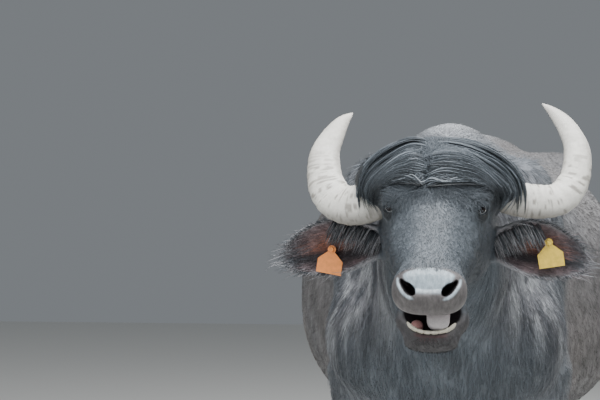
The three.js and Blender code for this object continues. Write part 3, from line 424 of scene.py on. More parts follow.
def lids_and_nostrils(d, f, s, u):
    """The small forms of the face, cut and raised on the head."""
    side = np.abs(s)

    def at_eye(shift, radii):
        return local_egg(f, side, u, EYE_SPOT, EYE_AXES, shift, radii)

    near = (f > -70) & (f < 70) & (side > 30)
    lids = at_eye((0, 0, 0), (LID_RADIUS + 3, LID_RADIUS, LID_RADIUS))
    brow = at_eye((4, 5, 26), (25, 12, 10))
    below = at_eye((-2, 4, -25), (24, 8, 6))
    shaped = blend(blend(blend(d, lids, 10), brow, 16), below, 12)
    shaped = carve(shaped, at_eye((2, 24, 16), (20, 8, 1.6)), 4)
    opening = at_eye((-1, 21, -1), (20.5, 14, 12.5))
    corner = at_eye((-18, 17, -4), (10, 8, 3.5))
    shaped = carve(shaped, blend(opening, corner, 5), 2)
    d = np.where(near, shaped, d)
    wing = local_egg(f, side, u, NOSTRIL_SPOT, NOSTRIL_AXES, (2, -5, 14), (22, 10, 8))
    shaped = carve(blend(d, wing, 14), nostril_distance(f, side, u), 4)
    return np.where(f > 190, shaped, d)


MOUTH_FLOOR = Stations(
    (20, 30, -80, -138, -116),
    (70, 48, -80, -150, -116),
    (140, 62, -82, -150, -114),
    (185, 77, -86, -143, -113),
    (212, 77, -87, -137, -112),
    (236, 61, -88, -131, -111),
    (258, 54, -92, -124, -110),
    (269, 34, -100, -119, -109),
)
MOUTH_ROOF = Stations(
    (60, 34, -112, -170, -142),
    (120, 54, -112, -172, -142),
    (180, 64, -108, -152, -130),
    (236, 66, -105, -150, -126),
    (268, 58, -112, -150, -128),
    (286, 36, -122, -146, -132),
)


def mouth_distance(f, s, u):
    """The hollow of the open mouth, above the lower jaw and under the upper one."""
    shut_f, shut_u = swing_jaw(f, u, -JAW_OPENING)
    floor = section(s, shut_u, *MOUTH_FLOOR(shut_f), 2.4) + MOUTH_FLOOR.past(shut_f)
    roof = section(s, u, *MOUTH_ROOF(f), 2.4) + MOUTH_ROOF.past(f)
    return blend(floor, roof, 10)


def inside_mouth(f, s, u):
    """From 0 on the lips to 1 on what lies behind them."""
    behind = -np.minimum(head_distance(f, s, u), jaw_distance(f, s, u))
    return (1 - smoothstep(mouth_distance(f, s, u), 2, 5)) * smoothstep(behind, 1, 4) * (f > 0)


def jaw_distance(f, s, u):
    shut_f, shut_u = swing_jaw(f, u, -JAW_OPENING)
    return section(s, shut_u, *JAW(shut_f), 2.4, JAW.past(shut_f), 27)


# Ears: cupped leaves. Length of each, and half the broadest part measured round the cup

EAR_LENGTH = {1: 250.0, -1: 276.0}
EAR_WIDTH = 72.0


def ear_frame(side):
    root = from_head(-62, side * 104, -188)
    out = unit(np.array((side * 0.955, 0.27, 0)))
    up = unit(np.array((0, -0.12, 1)))
    front = unit(np.array((side * 0.3, -0.95, -0.1)))
    return root, np.stack((out, up, front), axis=1)


def ear_sizes(t):
    """Half width, how far each half is rolled round the cup, and the droop, at a place from root to tip."""
    widen = 0.4 + 0.6 * smoothstep(t, 0, 0.42)
    half = EAR_WIDTH * widen * np.maximum(1 - np.maximum(t, 0) ** 3.4, 0.004) ** 0.6
    return half, lerp(1.35, 0.45, smoothstep(t, 0, 0.7)), -44 * t * t


def ear_point(side, t, w, ahead):
    root, axes = ear_frame(side)
    half, curl, droop = ear_sizes(np.asarray(t, float))
    radius = half / curl
    local = np.stack(
        (
            t * EAR_LENGTH[side] + 0 * radius,
            radius * np.sin(w * curl) + droop,
            radius * (1 - np.cos(w * curl)) + ahead,
        ),
        axis=-1,
    )
    return root + local @ axes.T


def ear_coordinates(side, p):
    """Place from root to tip, place round the cup (-1 to 1) and depth from the middle of the sheet."""
    root, axes = ear_frame(side)
    a, b, c = ((p - root) @ np.linalg.inv(axes).T).T
    t = a / EAR_LENGTH[side]
    half, curl, droop = ear_sizes(np.clip(t, -0.12, 1))
    radius = half / curl
    thick = lerp(15, 3.2, smoothstep(t, 0, 0.5))
    b, c = b - droop, c - radius
    around = np.arctan2(b, -c)
    return t, around / curl, np.hypot(b, c) - radius - thick / 2, thick, radius * curl, a


def ear_distance(side, p, least):
    w, depth, thick, half, a = ear_coordinates(side, p)[1:]
    beyond_edge = np.maximum((np.abs(w) - 1) * half, 0)
    beyond_tip = np.maximum(a - 0.985 * EAR_LENGTH[side], 0) + np.maximum(-0.12 * EAR_LENGTH[side] - a, 0)
    return np.sqrt(depth**2 + beyond_edge**2 + beyond_tip**2) - np.maximum(thick, least) / 2


# Tail and udder

TAIL_LINE = np.array(
    ((0, 800, 1205), (0, 868, 1206), (2, 922, 1150), (5, 934, 1030), (9, 930, 860), (12, 922, 680)), float
)
SWITCH_LINE = np.array(((12, 922, 678), (14, 921, 600), (15, 924, 500), (14, 930, 400)), float)


def smooth_curve(points, count):
    """Points along a curve through the given ones, at even steps of its own length."""
    chord = np.concatenate(([0], np.cumsum(np.linalg.norm(np.diff(points, axis=0), axis=1))))
    curve = Stations(*np.column_stack((chord, points)))
    return np.stack(curve(np.linspace(0, chord[-1], count)), axis=1)


TAIL_POINTS = smooth_curve(TAIL_LINE, 40)


def tail_place(p):
    """Distance from the tail's middle line and place along it, from 0 to 1."""
    best = np.full(len(p), 1e9)
    along = np.zeros(len(p))
    for i in range(len(TAIL_POINTS) - 1):
        a, b = TAIL_POINTS[i], TAIL_POINTS[i + 1]
        t = np.clip((p - a) @ (b - a) / np.dot(b - a, b - a), 0, 1)
        d = np.linalg.norm(p - a - t[:, None] * (b - a), axis=1)
        closer = d < best
        best = np.where(closer, d, best)
        along = np.where(closer, (i + t) / (len(TAIL_POINTS) - 1), along)
    return best, along


def tail_distance(p):
    d, along = tail_place(p)
    return d - lerp(35, 11.5, along**0.6)


UDDER_PLACE = (0, 560, 690)


def udder_distance(x, y, z):
    d = egg(x, y, z, UDDER_PLACE, (92, 150, 92))
    for ahead in (-58, 58):
        teat_z = np.clip(z, 585, 640)
        teat = np.sqrt((np.abs(x) - 44) ** 2 + (y - UDDER_PLACE[1] - ahead) ** 2 + (z - teat_z) ** 2) - 12
        d = blend(d, teat, 14)
    return d


# The whole flesh

CROWN_CORE = 16.0  # how thick the mat of hair over the crown is before the locks
COAT_DEPTH = 4.0  # the skin lies this far inside the solids


def flesh(p, least_ear=0.0):
    x, y, z = p.T
    far = np.full(len(p), 1e4)

    def part(mask, distance):
        d = far.copy()
        if mask.any():
            d[mask] = distance(mask)
        return d

    d = part(y > -900, lambda m: trunk_distance(x[m], y[m], z[m]))
    d = blend(d, part(y < -250, lambda m: neck_distance(p[m])), 90)
    for leg in LEGS:
        mid_y = leg[1](90)[1]
        near = (z < LEG_TOP) & (np.abs(y - mid_y) < 420) & (x * leg[2] > -60)
        d = blend(d, part(near, lambda m: leg_distance(leg, x[m], y[m], z[m])), 60)
    d = blend(d, part((y > 640) & (np.abs(x) < 120), lambda m: tail_distance(p[m])), 30)
    d = blend(d, part((y > 300) & (y < 800) & (z < 860), lambda m: udder_distance(x[m], y[m], z[m])), 26)
    d = d + COAT_DEPTH
    ahead = y < -760
    if not ahead.any():
        return d
    f, s, u = to_head(p[ahead])
    head = head_distance(f, s, u)
    front = blend(d[ahead], head + 1.5, 60)
    front = blend(front, jaw_distance(f, s, u), 26)
    front = lids_and_nostrils(front, f, s, u)
    front = carve(front, mouth_distance(f, s, u), 5)
    crown = smoothstep(f, -225, -150) * (1 - smoothstep(f, -62, 6)) * smoothstep(u, -120, -50)
    front = front - CROWN_CORE * crown
    for side in (1, -1):
        near = s * side > 40
        ear = np.full(len(f), 1e4)
        ear[near] = ear_distance(side, p[ahead][near], least_ear)
        front = blend(front, ear, 16)
    d[ahead] = front
    return d


def gradient(distance, p, step=0.4):
    corners = np.array(((1, 1, 1), (1, -1, -1), (-1, 1, -1), (-1, -1, 1)), float)
    return sum(c * distance(p + c * step)[:, None] for c in corners) / (4 * step)


def onto(distance, p, rounds=3, limit=6.0):
    """Moves points onto the surface where the distance is nought."""
    for _ in range(rounds):
        g = gradient(distance, p)
        size = np.maximum((g * g).sum(axis=1), 0.05)
        move = (distance(p) / size)[:, None] * g
        length = np.linalg.norm(move, axis=1, keepdims=True)
        p = p - move * np.minimum(1, limit / np.maximum(length, 1e-9))
    return p


# The skin: cells that the surface passes through are found on a lattice that is finer at the head

HEAD_CELL = 4.0
BODY_CELL = 12.0
LATTICE_HEIGHT = 1080.0  # the lattice narrows towards this line at the head


def lattice():
    """The Y of each lattice row and the size of its cells."""
    rows, sizes = [-1420.0], []
    while rows[-1] < 990:
        size = lerp(HEAD_CELL, BODY_CELL, float(smoothstep(rows[-1], -900, -320)))
        sizes.append(size)
        rows.append(rows[-1] + size)
    return np.array(rows[:-1]), np.array(sizes)


ROWS, ROW_CELLS = lattice()
BLOCK = 4
REACH = 130  # cells to each side of the middle line


def lattice_point(cells):
    i, j, k = cells.T
    at = np.arange(len(ROWS))
    y = np.interp(j, at, ROWS)
    size = np.interp(j, at, ROW_CELLS)
    return np.stack((i * size, y, LATTICE_HEIGHT + k * size), axis=1)


def key_of(cells):
    return ((cells[:, 0] + 512) << 24) | ((cells[:, 1] + 8) << 12) | (cells[:, 2] + 1024)


def extract(distance):
    """A closed net of four-sided faces on the surface where the distance is nought."""
    side = np.arange(-REACH, REACH, BLOCK)
    rows = np.arange(0, len(ROWS) - BLOCK, BLOCK)
    blocks = np.stack(np.meshgrid(side, rows, side, indexing="ij"), axis=-1).reshape(-1, 3)
    middle = lattice_point(blocks + BLOCK / 2)
    inside = (np.abs(middle[:, 0]) < 480) & (middle[:, 2] > 0) & (middle[:, 2] < 1460)
    blocks, middle = blocks[inside], middle[inside]
    size = np.interp(blocks[:, 1], np.arange(len(ROWS)), ROW_CELLS)
    blocks = blocks[np.abs(distance(middle)) < size * 6]
    step = np.stack(np.meshgrid(*[np.arange(BLOCK + 1)] * 3, indexing="ij"), axis=-1).reshape(-1, 3)
    corners = (blocks[:, None] + step).reshape(-1, 3)
    keys, first = np.unique(key_of(corners), return_index=True)
    corners = corners[first]
    value = distance(lattice_point(corners))
    corner_place = lattice_point(corners)
    low = step[(step < BLOCK).all(axis=1)]
    cells = (blocks[:, None] + low).reshape(-1, 3)
    offsets = np.array([[(n >> axis) & 1 for axis in range(3)] for n in range(8)])
    index = np.stack([np.searchsorted(keys, key_of(cells + o)) for o in offsets], axis=1)
    filled = value[index] < 0
    crossed = filled.any(axis=1) & ~filled.all(axis=1)
    cells, index = cells[crossed], index[crossed]
    total = np.zeros((len(cells), 3))
    count = np.zeros(len(cells))
    for a in range(8):
        for axis in range(3):
            b = a | (1 << axis)
            if b == a:
                continue
            va, vb = value[index[:, a]], value[index[:, b]]
            hit = (va < 0) != (vb < 0)
            t = np.where(hit, va / np.where(hit, va - vb, 1), 0)[:, None]
            point = lerp(corner_place[index[:, a]], corner_place[index[:, b]], t)
            total += np.where(hit[:, None], point, 0)
            count += hit
    verts = total / count[:, None]
    cell_keys = key_of(cells)
    order = np.argsort(cell_keys)
    sorted_keys = cell_keys[order]
    faces = []
    for axis in range(3):
        va, vb = value[index[:, 0]], value[index[:, 1 << axis]]
        hit = np.nonzero((va < 0) != (vb < 0))[0]
        one, two = np.eye(3, dtype=int)[(axis + 1) % 3], np.eye(3, dtype=int)[(axis + 2) % 3]
        ring = [cells[hit], cells[hit] - one, cells[hit] - one - two, cells[hit] - two]
        where = np.stack([np.searchsorted(sorted_keys, key_of(c)) for c in ring], axis=1)
        where = np.minimum(where, len(order) - 1)
        found = np.stack([sorted_keys[w] == key_of(c) for w, c in zip(where.T, ring)], axis=1).all(axis=1)
        quad = order[where]
        flip = va[hit] < 0
        quad = np.where(flip[:, None], quad, quad[:, ::-1])
        faces.append(quad[found])
    return verts, np.concatenate(faces)


def largest_piece(verts, faces):
    label = np.arange(len(verts))
    while True:
        least = label[faces].min(axis=1)
        new = label.copy()
        for column in range(faces.shape[1]):
            np.minimum.at(new, faces[:, column], least)
        new = new[new]
        if (new == label).all():
            break
        label = new
    names, counts = np.unique(label, return_counts=True)
    keep = label == names[counts.argmax()]
    number = np.cumsum(keep) - 1
    return verts[keep], number[faces[keep[faces[:, 0]]]]


def relax(verts, faces, amount=0.5):
    total = np.zeros_like(verts)
    count = np.zeros(len(verts))
    for column in range(faces.shape[1]):
        for other in (faces[:, column - 1], faces[:, (column + 1) % faces.shape[1]]):
            np.add.at(total, faces[:, column], verts[other])
            np.add.at(count, faces[:, column], 1)
    return lerp(verts, total / np.maximum(count, 1)[:, None], amount)


def refine(mesh, chosen):
    """Splits the faces whose middles are chosen into four."""
    bm = bmesh.new()
    bm.from_mesh(mesh)
    middles = np.array([face.calc_center_median() for face in bm.faces]) * 1000 - SHIFT
    pick = chosen(middles)
    edges = {edge for face, hit in zip(bm.faces, pick) if hit for edge in face.edges}
    bmesh.ops.subdivide_edges(bm, edges=list(edges), cuts=1, use_grid_fill=True)
    bm.to_mesh(mesh)
    bm.free()


def mesh_points(mesh):
    flat = np.empty(len(mesh.vertices) * 3)
    mesh.vertices.foreach_get("co", flat)
    return flat.reshape(-1, 3) * 1000 - SHIFT


def set_points(mesh, points):
    mesh.vertices.foreach_set("co", metres(points).ravel())
    mesh.update()


def from_eye(f, s, u, ahead, out):
    """Distance from a spot at the nearer eye, given ahead and outward of the middle of its ball."""
    return np.hypot(np.hypot(f - EYE_SPOT[0] - ahead, np.abs(s) - EYE_SPOT[1] - out), u - EYE_SPOT[2])


def near_eyes(p, reach=36.0):
    return from_eye(*to_head(p), 12, 8) < reach


def near_mouth(p):
    f, s, u = to_head(p)
    rim = (f > 110) & (u < -84) & (np.abs(mouth_distance(f, s, u)) < 24) & (np.abs(s) < 90)
    nostrils = (f > 262) & (u > -92) & (np.abs(s) < 86)
    return rim | nostrils


def make_mesh(name, verts, faces):
    """A mesh object from points in millimetres and an array of faces with three or four corners."""
    mesh = bpy.data.meshes.new(name)
    faces = np.asarray(faces)
    sides = faces.shape[1]
    mesh.vertices.add(len(verts))
    mesh.vertices.foreach_set("co", metres(verts).ravel())
    mesh.loops.add(faces.size)
    mesh.loops.foreach_set("vertex_index", faces.ravel().astype(np.int32))
    mesh.polygons.add(len(faces))
    mesh.polygons.foreach_set("loop_start", np.arange(0, faces.size, sides, dtype=np.int32))
    mesh.polygons.foreach_set("use_smooth", np.full(len(faces), True))
    mesh.update(calc_edges=True)
    made = bpy.data.objects.new(name, mesh)
    bpy.context.scene.collection.objects.link(made)
    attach(made, "root")
    return made


def skin_mesh():
    verts, faces = extract(lambda p: flesh(p, least_ear=13.0))
    verts, faces = largest_piece(verts, faces)
    for _ in range(2):
        verts = relax(verts, faces)
        verts = onto(lambda p: flesh(p, least_ear=9.0), verts, 1)
    verts = onto(flesh, verts, 3, 3.0)
    made = make_mesh("skin", verts, faces)
    for chosen in (near_mouth, near_eyes, lambda p: near_eyes(p, 30.0)):
        refine(made.data, chosen)
        set_points(made.data, onto(flesh, mesh_points(made.data), 3, 2.0))
    made.data.polygons.foreach_set("use_smooth", np.full(len(made.data.polygons), True))
    return made


skin = skin_mesh()
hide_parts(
    "torso",
    "neck",
    "head",
    "lower_jaw",
    "ear_left",
    "ear_right",
    "tail",
    "udder",
    *[leg[0] for leg in LEGS],
)

# Colours, read from the photograph. They are linear, from 0 to 1

SLATE = np.array((0.135, 0.158, 0.182))
SLATE_DARK = np.array((0.045, 0.054, 0.066))
SLATE_PALE = np.array((0.36, 0.40, 0.44))
BROWN_GREY = np.array((0.17, 0.155, 0.15))
RIDGE_PALE = np.array((0.52, 0.54, 0.57))
LEG_DARK = np.array((0.075, 0.075, 0.08))
# grey skin of the nose pad, made pale by a painted reflection of the sky
PAD_WITH_SHEEN = np.array((0.33, 0.4, 0.45))
MUZZLE_BROWN = np.array((0.115, 0.107, 0.108))
EAR_RED = np.array((0.4, 0.16, 0.1))
EAR_MAUVE = np.array((0.22, 0.17, 0.18))
NECK_GREY = np.array((0.158, 0.162, 0.177))
EAR_RIM = np.array((0.34, 0.34, 0.36))
# painted shade, near black, for the inside of the mouth and the nostrils
HOLLOW_SHADE = np.array((0.006, 0.005, 0.006))
LIP_RED = np.array((0.25, 0.07, 0.07))
UDDER_PINK = np.array((0.27, 0.2, 0.19))
TONE_RANGE = (0.003, 0.9)


def mix(a, b, amount):
    return a + (b - a) * np.asarray(amount)[:, None]


def shaded(tone, low, high, amount):
    """A tone times a factor that runs from low to high with the amount."""
    return tone * lerp(low, high, amount)[:, None]


def neck_share(y):
    """From 0 on the trunk to 1 on the neck and the chest."""
    return smoothstep(-y, 430, 620)


def leg_share(z):
    """From 0 on the trunk to 1 on the legs."""
    return smoothstep(700 - z, 0, 130)


def ear_masks(p):
    """How much of a place belongs to an ear, to its hollow side, and to its rim."""
    whole, hollow, rim = np.zeros(len(p)), np.zeros(len(p)), np.zeros(len(p))
    for side in (1, -1):
        t, w, depth, thick = ear_coordinates(side, p)[:4]
        on_sheet = (np.abs(depth) < thick / 2 + 6) & (np.abs(w) < 1.25) & (t > 0.05) & (t < 1.06)
        on_sheet &= p[:, 0] * side > 100
        whole = np.where(on_sheet, smoothstep(t, 0.05, 0.2), whole)
        hollow = np.where(on_sheet, (depth < 0) * smoothstep(t, 0.08, 0.2), hollow)
        rim = np.where(on_sheet, np.maximum(smoothstep(np.abs(w), 0.86, 1), smoothstep(t, 0.9, 1)), rim)
    return whole, hollow, rim


def ear_spot(p):
    """Places along and round the nearer ear."""
    left, right = ear_coordinates(1, p), ear_coordinates(-1, p)
    on_left = p[:, 0] > HEAD_PLACE[0]
    return np.where(on_left, left[0], right[0]), np.where(on_left, left[1], right[1])


def head_share(f, s, u):
    """From 0 on the neck to 1 on the head and the lower jaw."""
    away = np.minimum(head_distance(f, s, u), jaw_distance(f, s, u))
    return smoothstep(f, -170, -110) * (1 - smoothstep(away, 20, 46))


def muzzle_mask(f, s, u):
    """The bare pad between the nostrils, the bare skin round it, and the wet rim of each nostril, which is
    also painted pale as a highlight.
    """
    top = 266 + 0.004 * s**2
    pad = smoothstep(f, top - 3, top + 4) * smoothstep(u, -56, -49)
    narrowing = lerp(58, 30, smoothstep(-u, 30, 54))
    pad = pad * (1 - smoothstep(np.abs(s), narrowing - 4, narrowing + 4))
    bare = smoothstep(f, 262, 272) * smoothstep(u, -135, -126)
    side = np.abs(s)
    away = nostril_distance(f, side, u)
    spot = np.stack((side - NOSTRIL_SPOT[1], f - NOSTRIL_SPOT[0], u - NOSTRIL_SPOT[2]), axis=-1)
    rim = (1 - smoothstep(away, 6, 11)) * smoothstep(away, 2, 4) * smoothstep(spot @ NOSTRIL_AXES[:, 2], 3, 9)
    return pad, bare, rim * (f > 240)


def in_nostril(f, s, u):
    return (1 - smoothstep(nostril_distance(f, np.abs(s), u), 1.5, 4)) * (f > 220)


def body_tone(p, f, blotch):
    """The colour of the trunk, the neck and the legs."""
    x, y, z = p.T
    broad = noise(p, 170, 1)
    tone = mix(SLATE, BROWN_GREY, np.clip(smoothstep(y, -560, -300) * (0.5 + 0.45 * broad), 0, 1))
    tone = shaded(tone, 0.78, 1.22, blotch)
    streak = noise(np.stack((x, y, z * 0.16), axis=1), 15, 3)
    neck = smoothstep(-y, 430, 640) * smoothstep(-f, 150, 260)
    tone = mix(tone, shaded(NECK_GREY, 0.85, 1.15, blotch), neck)
    tone = mix(tone, SLATE_PALE * (1.06, 1, 0.95), neck * smoothstep(streak, 0.5, 0.85) * 0.62)
    tone = mix(tone, SLATE_DARK, neck * smoothstep(0.5 - streak, 0, 0.34) * 0.7)
    speckle = noise(np.stack((x, y * 0.72 + z * 0.4, z * 0.35 - y * 0.3), axis=1), 9, 4)
    flank = smoothstep(y, -560, -420)
    tone = tone * (1 + flank * (speckle - 0.5) * 0.8)[:, None]
    # pale hair along the top of the back, made paler still by a painted rim of light on the topline
    ridge = smoothstep(z, 1250, 1340) * smoothstep(90 + 40 * broad - np.abs(x), 0, 100)
    tone = mix(tone, RIDGE_PALE, ridge * smoothstep(y, -600, -460) * 0.72)
    # painted shade: a darker band along the underside of the belly and the tops of the legs
    tone = mix(tone, SLATE_DARK, smoothstep(620 - z, 0, 60) * smoothstep(z, 480, 560) * 0.5)
    return mix(tone, LEG_DARK, smoothstep(640 - z, 0, 260) * smoothstep(np.abs(x), 60, 110))


def head_tone(tone, p, head, blotch):
    """The colour of the head, over the tone that the neck gives. It paints shade behind the horns and on the
    cheeks, and a highlight on the bridge.
    """
    f, s, u = to_head(p)
    cheek = smoothstep(np.abs(s), 56, 88) * smoothstep(-u, 50, 105)
    # painted shadow: the poll and the neck behind the horns and the ears, under the forelock, are made dark
    shadow_behind_horn = smoothstep(np.abs(s), 84, 104) * (1 - smoothstep(np.abs(u), 46, 90))
    shadow_behind_horn = shadow_behind_horn * smoothstep(-f, -12, 20) * (1 - smoothstep(-f, 130, 190))
    tone = mix(tone, SLATE * 0.66, head)
    tone = mix(tone, SLATE_DARK * 0.5, shadow_behind_horn * 0.85)
    # painted shade: the sides of the lower face are darkened because they face away from the overhead light
    tone = mix(tone, SLATE_DARK, head * cheek * 0.72)
    mottle = (noise(p, 7, 5) - 0.5) * 0.5 + (blotch - 0.5) * 0.25
    tone = tone * (1 + head * mottle)[:, None]
    # painted highlight: the bridge of the nose faces up and is made paler, as sheen from the overhead light
    bridge_sheen = head * smoothstep(52 - np.abs(s), 0, 30) * smoothstep(f, 20, 90)
    tone = mix(tone, SLATE_PALE * 0.8, bridge_sheen * 0.14)
    tone = mix(tone, SLATE_DARK * 0.4, (1 - smoothstep(from_eye(f, s, u, 16, 8), 17, 27)) * head)
    duct = np.hypot(np.hypot((f - 34) / 1.6, np.abs(s) - 70), u + 42)
    return mix(tone, SLATE_DARK * 0.5, (1 - smoothstep(duct, 5, 15)) * head)


def ear_tone(tone, p, blotch):
    """The colour of the ears: grey behind, mauve and red in the hollow with painted shade in its fold, and
    pale on the rim.
    """
    x, y, z = p.T
    whole, hollow, rim = ear_masks(p)
    dark_hair = smoothstep(noise(np.stack((x, y, z * 0.2), axis=1), 9, 8), 0.45, 0.7)
    t, w = ear_spot(p)
    red = np.exp(-(((t - 0.52) / 0.2) ** 2) - ((w - 0.05) / 0.45) ** 2)
    inner = mix(shaded(EAR_MAUVE, 0.75, 1.25, blotch), EAR_RED, red)
    # painted shade: a dark band in the fold of the hollow, joined with streaks of dark hair
    fold_shade = smoothstep(-w, -0.02, 0.3) * (1 - smoothstep(-w, 0.45, 0.75))
    inner = mix(inner, SLATE_DARK * 0.6, np.maximum(0.5 * dark_hair, 0.85 * fold_shade))
    inner = mix(inner, SLATE * 0.8, smoothstep(t, 0.72, 0.95) * 0.7)
    tone = mix(tone, SLATE * 0.9, whole)
    tone = mix(tone, inner, hollow)
    return mix(tone, EAR_RIM, rim * whole * 0.75)


def muzzle_tone(tone, p, head, blotch):
    """The colour of the bare muzzle, the chin and the lips, and painted shade inside the mouth and the
    nostrils.
    """
    f, s, u = to_head(p)
    pad, bare, rim = muzzle_mask(f, s, u)
    tone = mix(tone, shaded(MUZZLE_BROWN, 0.8, 1.2, blotch), bare * head)
    # the pad: grey skin with a painted reflection of the sky on it
    tone = mix(tone, PAD_WITH_SHEEN, pad * head)
    # painted highlight: the wet outer rim of each nostril is made paler than the pad
    tone = mix(tone, PAD_WITH_SHEEN * 1.3, rim * head)
    jaw_f, jaw_u = swing_jaw(f, u, -JAW_OPENING)
    chin = smoothstep(jaw_f, 170, 220) * smoothstep(-jaw_u, 112, 122) * (u < -110)
    tone = mix(tone, MUZZLE_BROWN * 0.8, chin * 0.8)
    lip = (1 - smoothstep(np.abs(mouth_distance(f, s, u) - 4), 0, 7)) * smoothstep(46 - np.abs(s), 0, 20)
    lip = lip * (f > 240) * (u < -108) * (jaw_u > -150)
    tone = mix(tone, LIP_RED, lip * head * 0.3)
    # painted shade: the inside of the open mouth is made near black
    tone = mix(tone, HOLLOW_SHADE, inside_mouth(f, s, u))
    # painted shade: the inside of each nostril is made near black
    return mix(tone, HOLLOW_SHADE, in_nostril(f, s, u))


def coat_tone(p):
    """The colour of hide and hair at a place."""
    blotch = noise(p, 46, 2)
    f, s, u = to_head(p)
    head = head_share(f, s, u)
    tone = head_tone(body_tone(p, f, blotch), p, head, blotch)
    tone = muzzle_tone(ear_tone(tone, p, blotch), p, head, blotch)
    udder = (1 - smoothstep(udder_distance(*p.T), 0, 22)) * (p[:, 2] < 760)
    return np.clip(mix(tone, shaded(UDDER_PINK, 0.8, 1.2, blotch), udder), *TONE_RANGE)


def wetness(p):
    f, s, u = to_head(p)
    pad, bare, rim = muzzle_mask(f, s, u)
    lid = 0.3 * (1 - smoothstep(from_eye(f, s, u, 14, 10), 13, 19))
    wet = np.maximum.reduce((pad, rim, 0.35 * bare, 0.5 * inside_mouth(f, s, u), lid))
    return wet * (1 - 0.9 * in_nostril(f, s, u))


def hairiness(p):
    """Where hair grows: not on the pad, in the mouth, at the eyes, on the udder or at the hooves' edge."""
    f, s, u = to_head(p)
    keep = (muzzle_mask(f, s, u)[1] < 0.3) & (from_eye(f, s, u, 14, 10) > 28) & (mouth_distance(f, s, u) > 5)
    return keep & (udder_distance(*p.T) > 14) & (p[:, 2] > 76)


# The lie of the coat

WHORL = (-6.0, -8.0)  # f and s of the whorl on the brow


def lie_of(p, normal):
    """The way the hair points at a place, along the skin."""
    x, y, z = p.T
    f, s, u = to_head(p)
    body = np.stack((0 * x, 0 * x + 0.72, -0.25 - 0.5 * smoothstep(1330 - z, 0, 200)), axis=1)
    hanging = np.stack((0.04 * np.sign(x), 0 * x + 0.12, 0 * x - 0.99), axis=1)
    way = mix(body, hanging, neck_share(y))
    way = mix(way, hanging * (0.3, 0.6, 1), leg_share(z) * smoothstep(np.abs(x), 60, 110))
    rear = smoothstep(y, 560, 760)
    way = mix(way, hanging, rear * smoothstep(1250 - z, 0, 80))
    radial = unit(np.stack((f - WHORL[0], (s - WHORL[1]) * 0.8), axis=1))
    down_cheek = smoothstep(np.abs(normal @ S), 0.45, 0.9)
    face = F * radial[:, :1] + S * radial[:, 1:] - U * (down_cheek * 0.9)[:, None]
    under = smoothstep(-(normal @ U), 0.2, 0.7) * (f < 180)
    face = mix(face, 0 * face - F, under)
    way = mix(way, face, head_share(f, s, u))
    whole = ear_masks(p)[0]
    for side in (1, -1):
        along = ear_frame(side)[1][:, 0] + (0, 0, -0.25)
        way = mix(way, np.broadcast_to(along, way.shape), whole * (x * side > 0))
    way = way - normal * (way * normal).sum(axis=1, keepdims=True)
    return unit(way)


# An unwrap of the skin, for the map that the coat's colours are kept on

BODY_BOX = (0.0, 0.0, 1.0, 0.48)
HEAD_BOX = (0.0, 0.5, 0.5, 0.24)
EAR_BOXES = {1: (0.52, 0.5, 0.22, 0.24), -1: (0.76, 0.5, 0.22, 0.24)}
LEG_BOXES = [(0.25 * number, 0.76, 0.24, 0.18) for number in range(len(LEGS))]
TAIL_BOX = (0.0, 0.95, 1.0, 0.04)
LEG_UNWRAP_TOP = 620


def unwrap(p):
    x, y, z = p.T
    f, s, u = to_head(p)

    def place(box, across, along):
        return np.stack(
            (box[0] + box[2] * np.clip(across, 0, 1), box[1] + box[3] * np.clip(along, 0, 1)), axis=1
        )

    def turn(one, two):
        return np.arctan2(one, two) / (2 * math.pi) + 0.5

    uv = place(BODY_BOX, turn(x, z - 930), (y + 1000) / 1950)
    for leg, box in zip(LEGS, LEG_BOXES):
        mid_x, mid_y = leg_middle(leg, z)
        mine = (z < LEG_UNWRAP_TOP) & (x * leg[2] > 0) & ((y > 100) == (leg[1] is HINDLEG))
        uv = np.where(mine[:, None], place(box, turn(x - mid_x, y - mid_y), z / LEG_UNWRAP_TOP), uv)
    uv = np.where((f > -190)[:, None], place(HEAD_BOX, turn(s, u + 100), (f + 200) / 520), uv)
    whole = ear_masks(p)[0]
    for side in (1, -1):
        t, w, depth = ear_coordinates(side, p)[:3]
        mine = (whole > 0) & (x * side > 0)
        back = np.where(depth < 0, 0.0, 0.5)
        uv = np.where(mine[:, None], place(EAR_BOXES[side], t, back + (w + 1) * 0.24), uv)
    away, along = tail_place(p)
    return np.where(((away < 60) & (y > 860))[:, None], place(TAIL_BOX, along, 0 * along + 0.5), uv)


# Materials


def add(tree, kind, settings=None, **inputs):
    """A new node. Inputs are named, or numbered after an underscore, and each is linked or given a value."""
    node = tree.nodes.new(kind)
    for key, value in (settings or {}).items():
        setattr(node, key, value)
    for key, value in inputs.items():
        socket = node.inputs[int(key[1:])] if key[0] == "_" else node.inputs[key.replace("_", " ")]
        if isinstance(value, bpy.types.NodeSocket):
            tree.links.new(value, socket)
        else:
            socket.default_value = value
    return node


def material(name, **sockets):
    made = bpy.data.materials.new(name)
    made.use_nodes = True
    shader = made.node_tree.nodes["Principled BSDF"]
    for key, value in sockets.items():
        shader.inputs[key.replace("_", " ")].default_value = value
    return made, made.node_tree, shader


def stored(tree, name):
    """What a mesh stores under a name."""
    return add(tree, "ShaderNodeAttribute", {"attribute_name": name})


